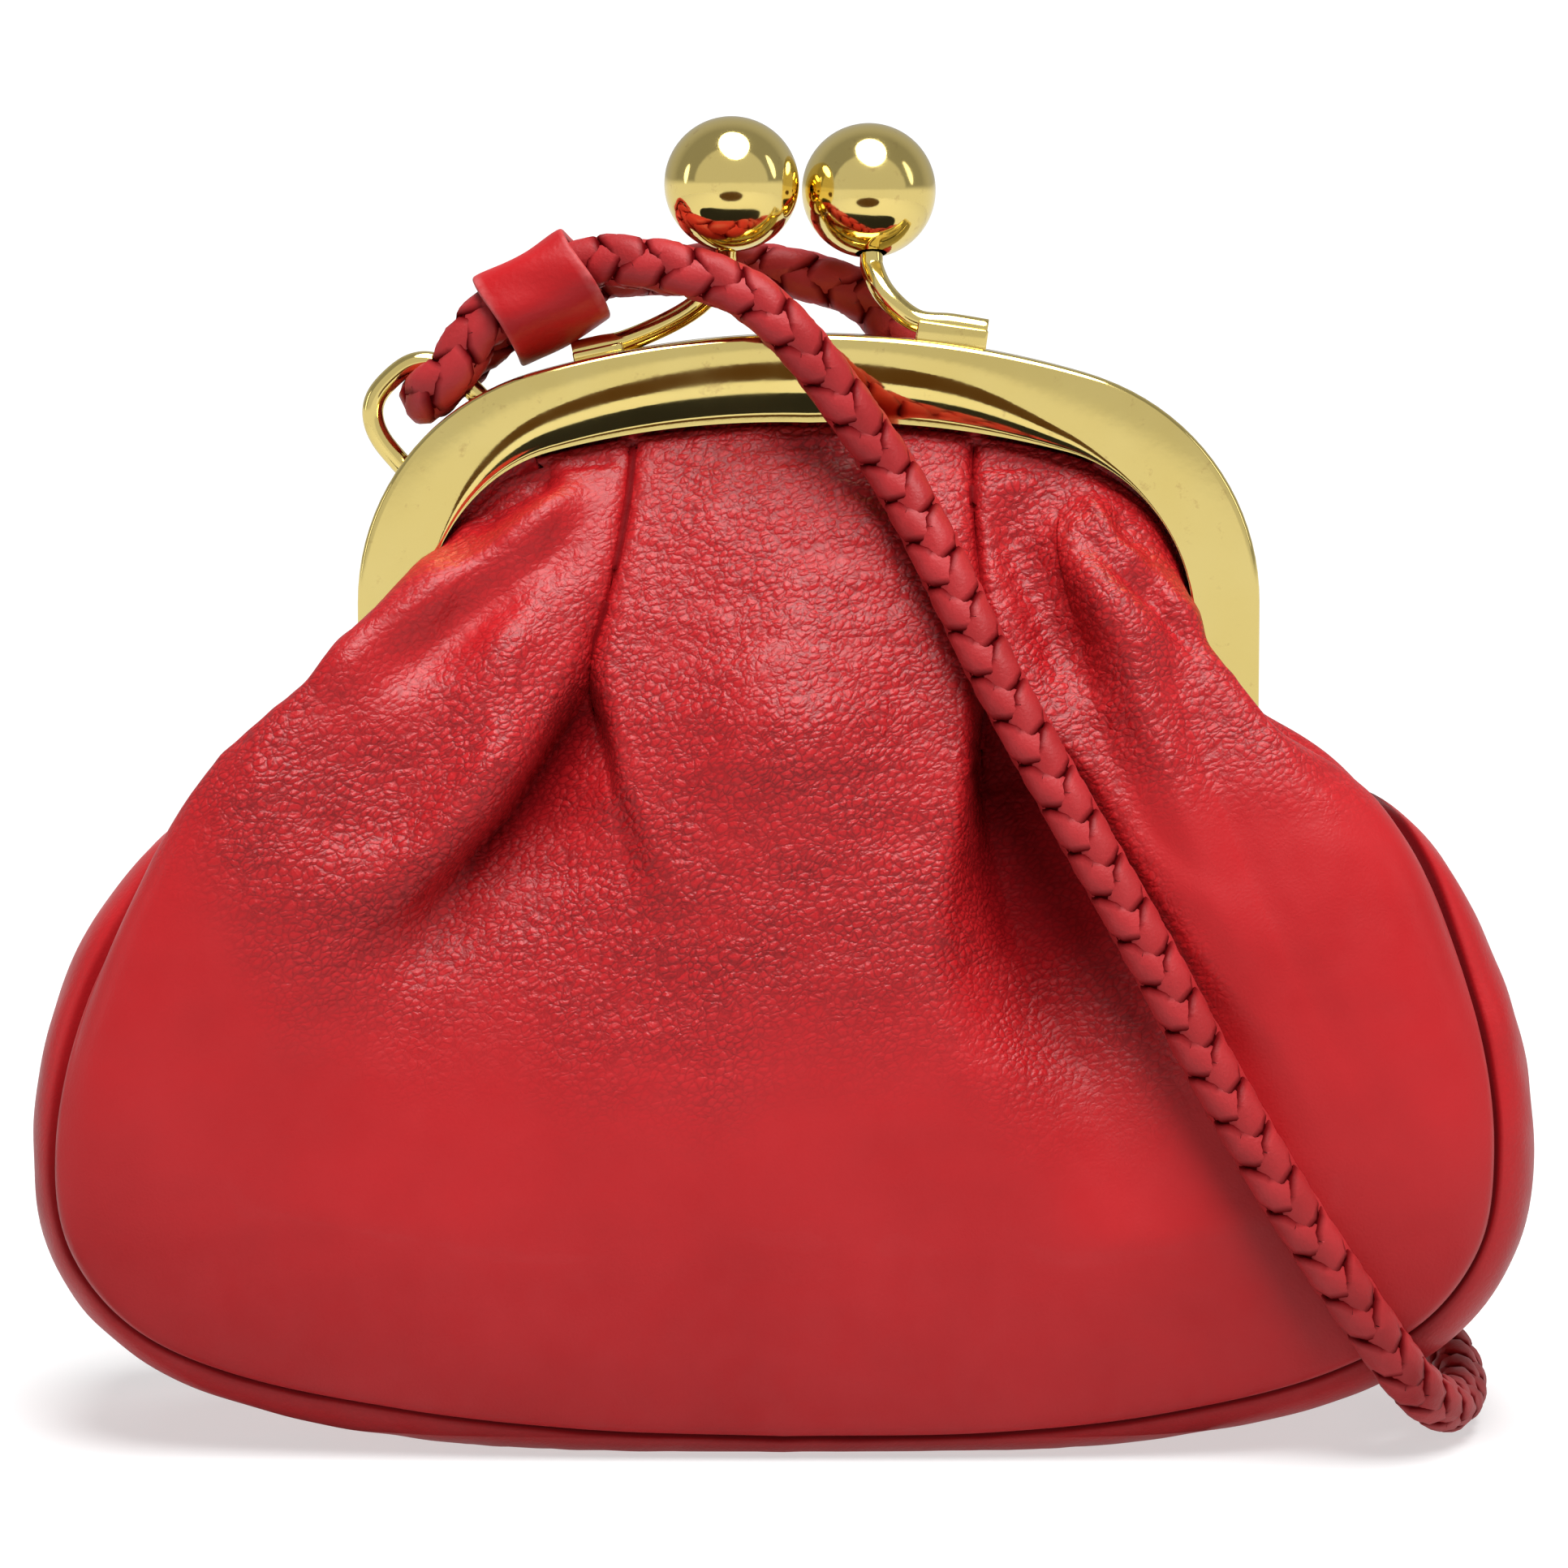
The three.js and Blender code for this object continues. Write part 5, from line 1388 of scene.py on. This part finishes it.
# %% Make the two panels
def make_panel(name, is_front, details):
    kept = {}

    def place(u, v):
        row = np.rint(v * PANEL_ALONG)
        p, at, down = panel_middle(u, row, is_front)
        normal = grid_normals(as_grid(p)).reshape(-1, 3)
        if np.mean(normal[(down > 0.3) & (down < 0.6), 1]) > 0:
            normal = -normal
        tight = SEWN_TIGHT * smooth(RIB_ROWS + ROLL_ROWS, 2 + RIB_ROWS + ROLL_ROWS, row)
        p = p + normal * (LEATHER / 2 + tight)[:, None]
        sewn = sum(sewn_part(d, down) * np.exp(-(((at - dart_line(d, down)) / 0.003) ** 2)) for d in DARTS)
        kept["grain"] = grain_share(p) * (1 - 0.8 * np.clip(sewn, 0, 1))
        # Painted shade: the valleys under the darts, the grooves of the sewn dart lines and the seam's groove are
        # marked to be coloured darker and to shine less.
        fold_shade = 0.65 * smooth(2.5, 8, dart_depth(at, down)) + 0.8 * sewn
        seam_groove_shade = smooth(2 + RIB_ROWS + 3, 2 + RIB_ROWS + ROLL_ROWS - 2, row)
        kept["groove"] = np.maximum(seam_groove_shade, fold_shade * (row > 2) * (row < 2 + RIB_ROWS))
        p = p + normal * np.where((row > 2) & (row < 2 + RIB_ROWS), details(at, down, p), 0)[:, None]
        if not is_front:
            p[:, 1] *= -1
        return p

    made = shaped_grid(name, PANEL_ACROSS, PANEL_ALONG, place)
    for label, values in kept.items():
        paint(made, label, values)
    facing = sum(f.normal.y for f in made.data.polygons[8000:9000])
    if (facing > 0) == is_front:
        in_edit_mode(made, bpy.ops.mesh.flip_normals)
    area = sum(f.area for f in made.data.polygons)
    apply_modifier(made, "SOLIDIFY", thickness=(LEATHER - 0.1) * MM, offset=-1, use_even_offset=False)
    bpy.ops.object.shade_smooth()
    return made, area


front_panel, front_area = make_panel("pleated_front", True, front_details)
back_panel, back_area = make_panel("pleated_back", False, back_details)
print("panel areas, m2", round(front_area, 4), round(back_area, 4), "faces", len(front_panel.data.polygons))

# %% [markdown]
# ## The gusset
# The gusset is one strip of leather that runs from hinge to hinge under the pouch. It bulges a little
# between the two seams and lies flat where the purse stands. It is a long grid: the stations run along
# the seam and the rows go across the strip, from one flange over the bulge to the other.

# %% Make the gusset
GUSSET_ALONG = 300
GUSSET_ARCH = 44
GUSSET_ACROSS = GUSSET_ARCH + 2
GUSSET_GRAIN = 0.12
gusset_groove = {}


def gusset_place(u, v):
    x, z, out_x, out_z, half_depth, swell, flange = seam_at(u)
    row = np.rint(v * GUSSET_ACROSS)
    share = np.clip((row - 1) / GUSSET_ARCH, 0, 1)
    angle = math.pi * share - 0.3 * np.sin(2 * math.pi * share)
    half_y = half_depth - flange
    y = -half_y * np.sign(np.cos(angle)) * np.abs(np.cos(angle)) ** 0.5
    out = -ROLL + (swell + ROLL) * np.abs(np.sin(angle)) ** 0.62
    # Painted shade in the groove beside each seam, weaker near the left hinge.
    gusset_groove["depth"] = (1 - smooth(1.2, 2.0, out)) * (0.5 + 0.45 * smooth(0.18, 0.28, u))
    on_flange = (row < 1) | (row > GUSSET_ACROSS - 1)
    out = np.where(on_flange, -ROLL - FLANGE_LONG, out)
    p = np.stack([x + out_x * out, y, z + out_z * out], axis=1)
    grid = p.reshape(GUSSET_ACROSS + 1, GUSSET_ALONG + 1, 3)
    normal = grid_normals(grid).reshape(-1, 3)
    outward = normal[:, 0] * out_x + normal[:, 2] * out_z
    if np.mean(outward[(row > 14) & (row < 32)]) < 0:
        normal = -normal
    tight = SEWN_TIGHT * (1 - smooth(1, 3, np.minimum(row, GUSSET_ACROSS - row)))
    p = p + normal * (LEATHER / 2 + tight)[:, None]
    inner = smooth(2, 8, row) * (1 - smooth(GUSSET_ACROSS - 8, GUSSET_ACROSS - 2, row))
    p = p + normal * (0.07 * waves(p[:, 0], p[:, 1], p[:, 2], 21, 20, 7, 18, 1.0) * inner)[:, None]
    p[:, 2] = np.maximum(p[:, 2], 0)
    return p


gusset = shaped_grid("gusset_strip", GUSSET_ALONG, GUSSET_ACROSS, gusset_place)
paint(gusset, "grain", np.full(len(gusset.data.vertices), GUSSET_GRAIN))
paint(gusset, "groove", gusset_groove["depth"])
lowest = sorted(gusset.data.polygons, key=lambda face: face.center.z)[:200]
if sum(face.normal.z for face in lowest) > 0:
    in_edit_mode(gusset, bpy.ops.mesh.flip_normals)
apply_modifier(gusset, "SOLIDIFY", thickness=(LEATHER - 0.1) * MM, offset=-1, use_even_offset=False)
bpy.ops.object.shade_smooth()

# %% [markdown]
# ## Soft red nappa
# The pouch is soft leather with a wrinkled pebble grain: small cells with fine cracks between
# them, drawn out sideways, strong in the pleated upper half and almost gone below, where the skin is
# stretched smooth. A cell pattern gives the cracks, bent by noise so that no cell is a neat polygon, and
# the grain that was painted on the vertices says how deep they are. A cell is highest in its middle, and
# its height is eased near its border, so that two pebbles meet in a round valley. Fine pores lie over all.
# The cracks are coloured darker as painted shade, the more where the grain is deep. The seam's groove,
# the narrow grooves of the sewn darts and the valleys below them carry painted shade: a near-black red
# that shines less.

# %% Pouch leather
GRAIN_SCALE = 1450.0
GRAIN_LEAN = math.radians(-28)
GRAIN_WANDER = 0.0016
pouch_leather, tree, shader = new_finish("pouch_leather")
where = add_node(tree, "ShaderNodeTexCoord").outputs["Object"]
wander = add_node(tree, "ShaderNodeTexNoise", Vector=where, Scale=420.0, Detail=3.0).outputs["Color"]
bent = add_node(
    tree, "ShaderNodeVectorMath", {"operation": "MULTIPLY_ADD"}, i0=wander, i1=(GRAIN_WANDER,) * 3, i2=where
).outputs[0]


def drawn_out(stretch):
    """The bent coordinates, leaned and stretched along the creases."""
    lean = {"vector_type": "TEXTURE"}
    made = add_node(tree, "ShaderNodeMapping", lean, Vector=bent, Rotation=(0, GRAIN_LEAN, 0), Scale=stretch)
    return made.outputs[0]


def cells(feature, vector, scale):
    made = add_node(tree, "ShaderNodeTexVoronoi", {"feature": feature}, Vector=vector, Scale=scale)
    return made.outputs["Distance"]


cell_way = drawn_out((1.6, 1.2, 1.0))
from_border = cells("DISTANCE_TO_EDGE", cell_way, GRAIN_SCALE)
crack = remap(tree, from_border, 0.0, 0.19, 0.0, 1.0)
near_border = remap(tree, from_border, 0.0, 0.156, 0.25, 0.0)
valley = maths(tree, "MULTIPLY", near_border, near_border)
from_middle = maths(tree, "SUBTRACT", cells("F1", cell_way, GRAIN_SCALE), valley)
pebble = remap(tree, from_middle, 0.0, 0.75, 1.0, 0.0)
streak = noise(tree, drawn_out((4.0, 1.6, 1.0)), 1500.0, 3.0, 0.6)
pore = remap(tree, cells("F1", bent, 2600.0), 0.0, 0.7, 1.0, 0.0)
grain = attribute(tree, "grain")
depth_share = maths(tree, "MULTIPLY", grain, remap(tree, noise(tree, where, 150.0), 0.3, 0.6, 0.65, 1.0))
rough_height = maths(tree, "ADD", maths(tree, "MULTIPLY", crack, 0.12), maths(tree, "MULTIPLY", pebble, 0.9))
rough_height = maths(tree, "ADD", rough_height, maths(tree, "MULTIPLY", streak, 0.5))
crack_height = maths(tree, "MULTIPLY", rough_height, depth_share)
fine = maths(tree, "MULTIPLY", pore, maths(tree, "ADD", maths(tree, "MULTIPLY", grain, 0.5), 0.35))
pore_bump = bump(tree, fine, 0.00005, 0.8)
grain_bump = bump(tree, crack_height, 0.00018, 1.0, pore_bump)
mottle = remap(tree, noise(tree, where, 45.0, 4.0), 0.3, 0.7, 0.0, 1.0)
soft_red = blend_colour(tree, mottle, (0.42, 0.006, 0.009, 1), (0.49, 0.010, 0.014, 1))
# The grain's cracks are coloured darker, as painted shade in these small hollows, the more where the grain is deep.
crack_shade_share = maths(tree, "MULTIPLY", maths(tree, "SUBTRACT", 1.0, crack), maths(tree, "MULTIPLY", depth_share, 0.82))
crack_shaded_red = blend_colour(tree, crack_shade_share, soft_red, (0.18, 0.003, 0.005, 1))
# Painted shade: where the groove mark is set, the colour goes to a near-black red and the shine drops.
groove = attribute(tree, "groove")
feed(
    tree,
    shader,
    Base_Color=blend_colour(tree, groove, crack_shaded_red, (0.07, 0.002, 0.003, 1)),
    Roughness=remap(tree, noise(tree, where, 260.0), 0.3, 0.7, 0.37, 0.46),
    Specular_IOR_Level=remap(tree, groove, 0.0, 0.55, 0.36, 0.02),
    Normal=grain_bump,
)
for piece in (front_panel, back_panel, gusset):
    cover(piece, pouch_leather)
print("finish", pouch_leather.name)

# %% [markdown]
# ## Everything in its place
# Each piece now moves with the purse's one body, and the solid of the imported model that it stands for
# is hidden. The table beside each piece also lists the finish of the record that it uses.

# %% Ride and replace
PIECES = [
    (front_panel, "front_panel", "leather"),
    (back_panel, "back_panel", "leather"),
    (gusset, "gusset", "leather"),
    (strap, "strap", "leather"),
    (keeper, "strap_keeper", "leather"),
    (front_half, "front_frame", "gold"),
    (back_half, "back_frame", "gold"),
    (balls["front"], "front_ball", "gold"),
    (balls["back"], "back_ball", "gold"),
    (left_rivet, "left_rivet", "gold"),
    (right_rivet, "right_rivet", "gold"),
    (ring, "strap_ring", "gold"),
]
for piece, node, finish in PIECES:
    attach(piece, "root")
    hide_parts(node)
print("pieces", len(PIECES), "faces", sum(len(piece.data.polygons) for piece, _, _ in PIECES))

print("declared", strap.name, front_panel.name, back_panel.name, gusset.name)
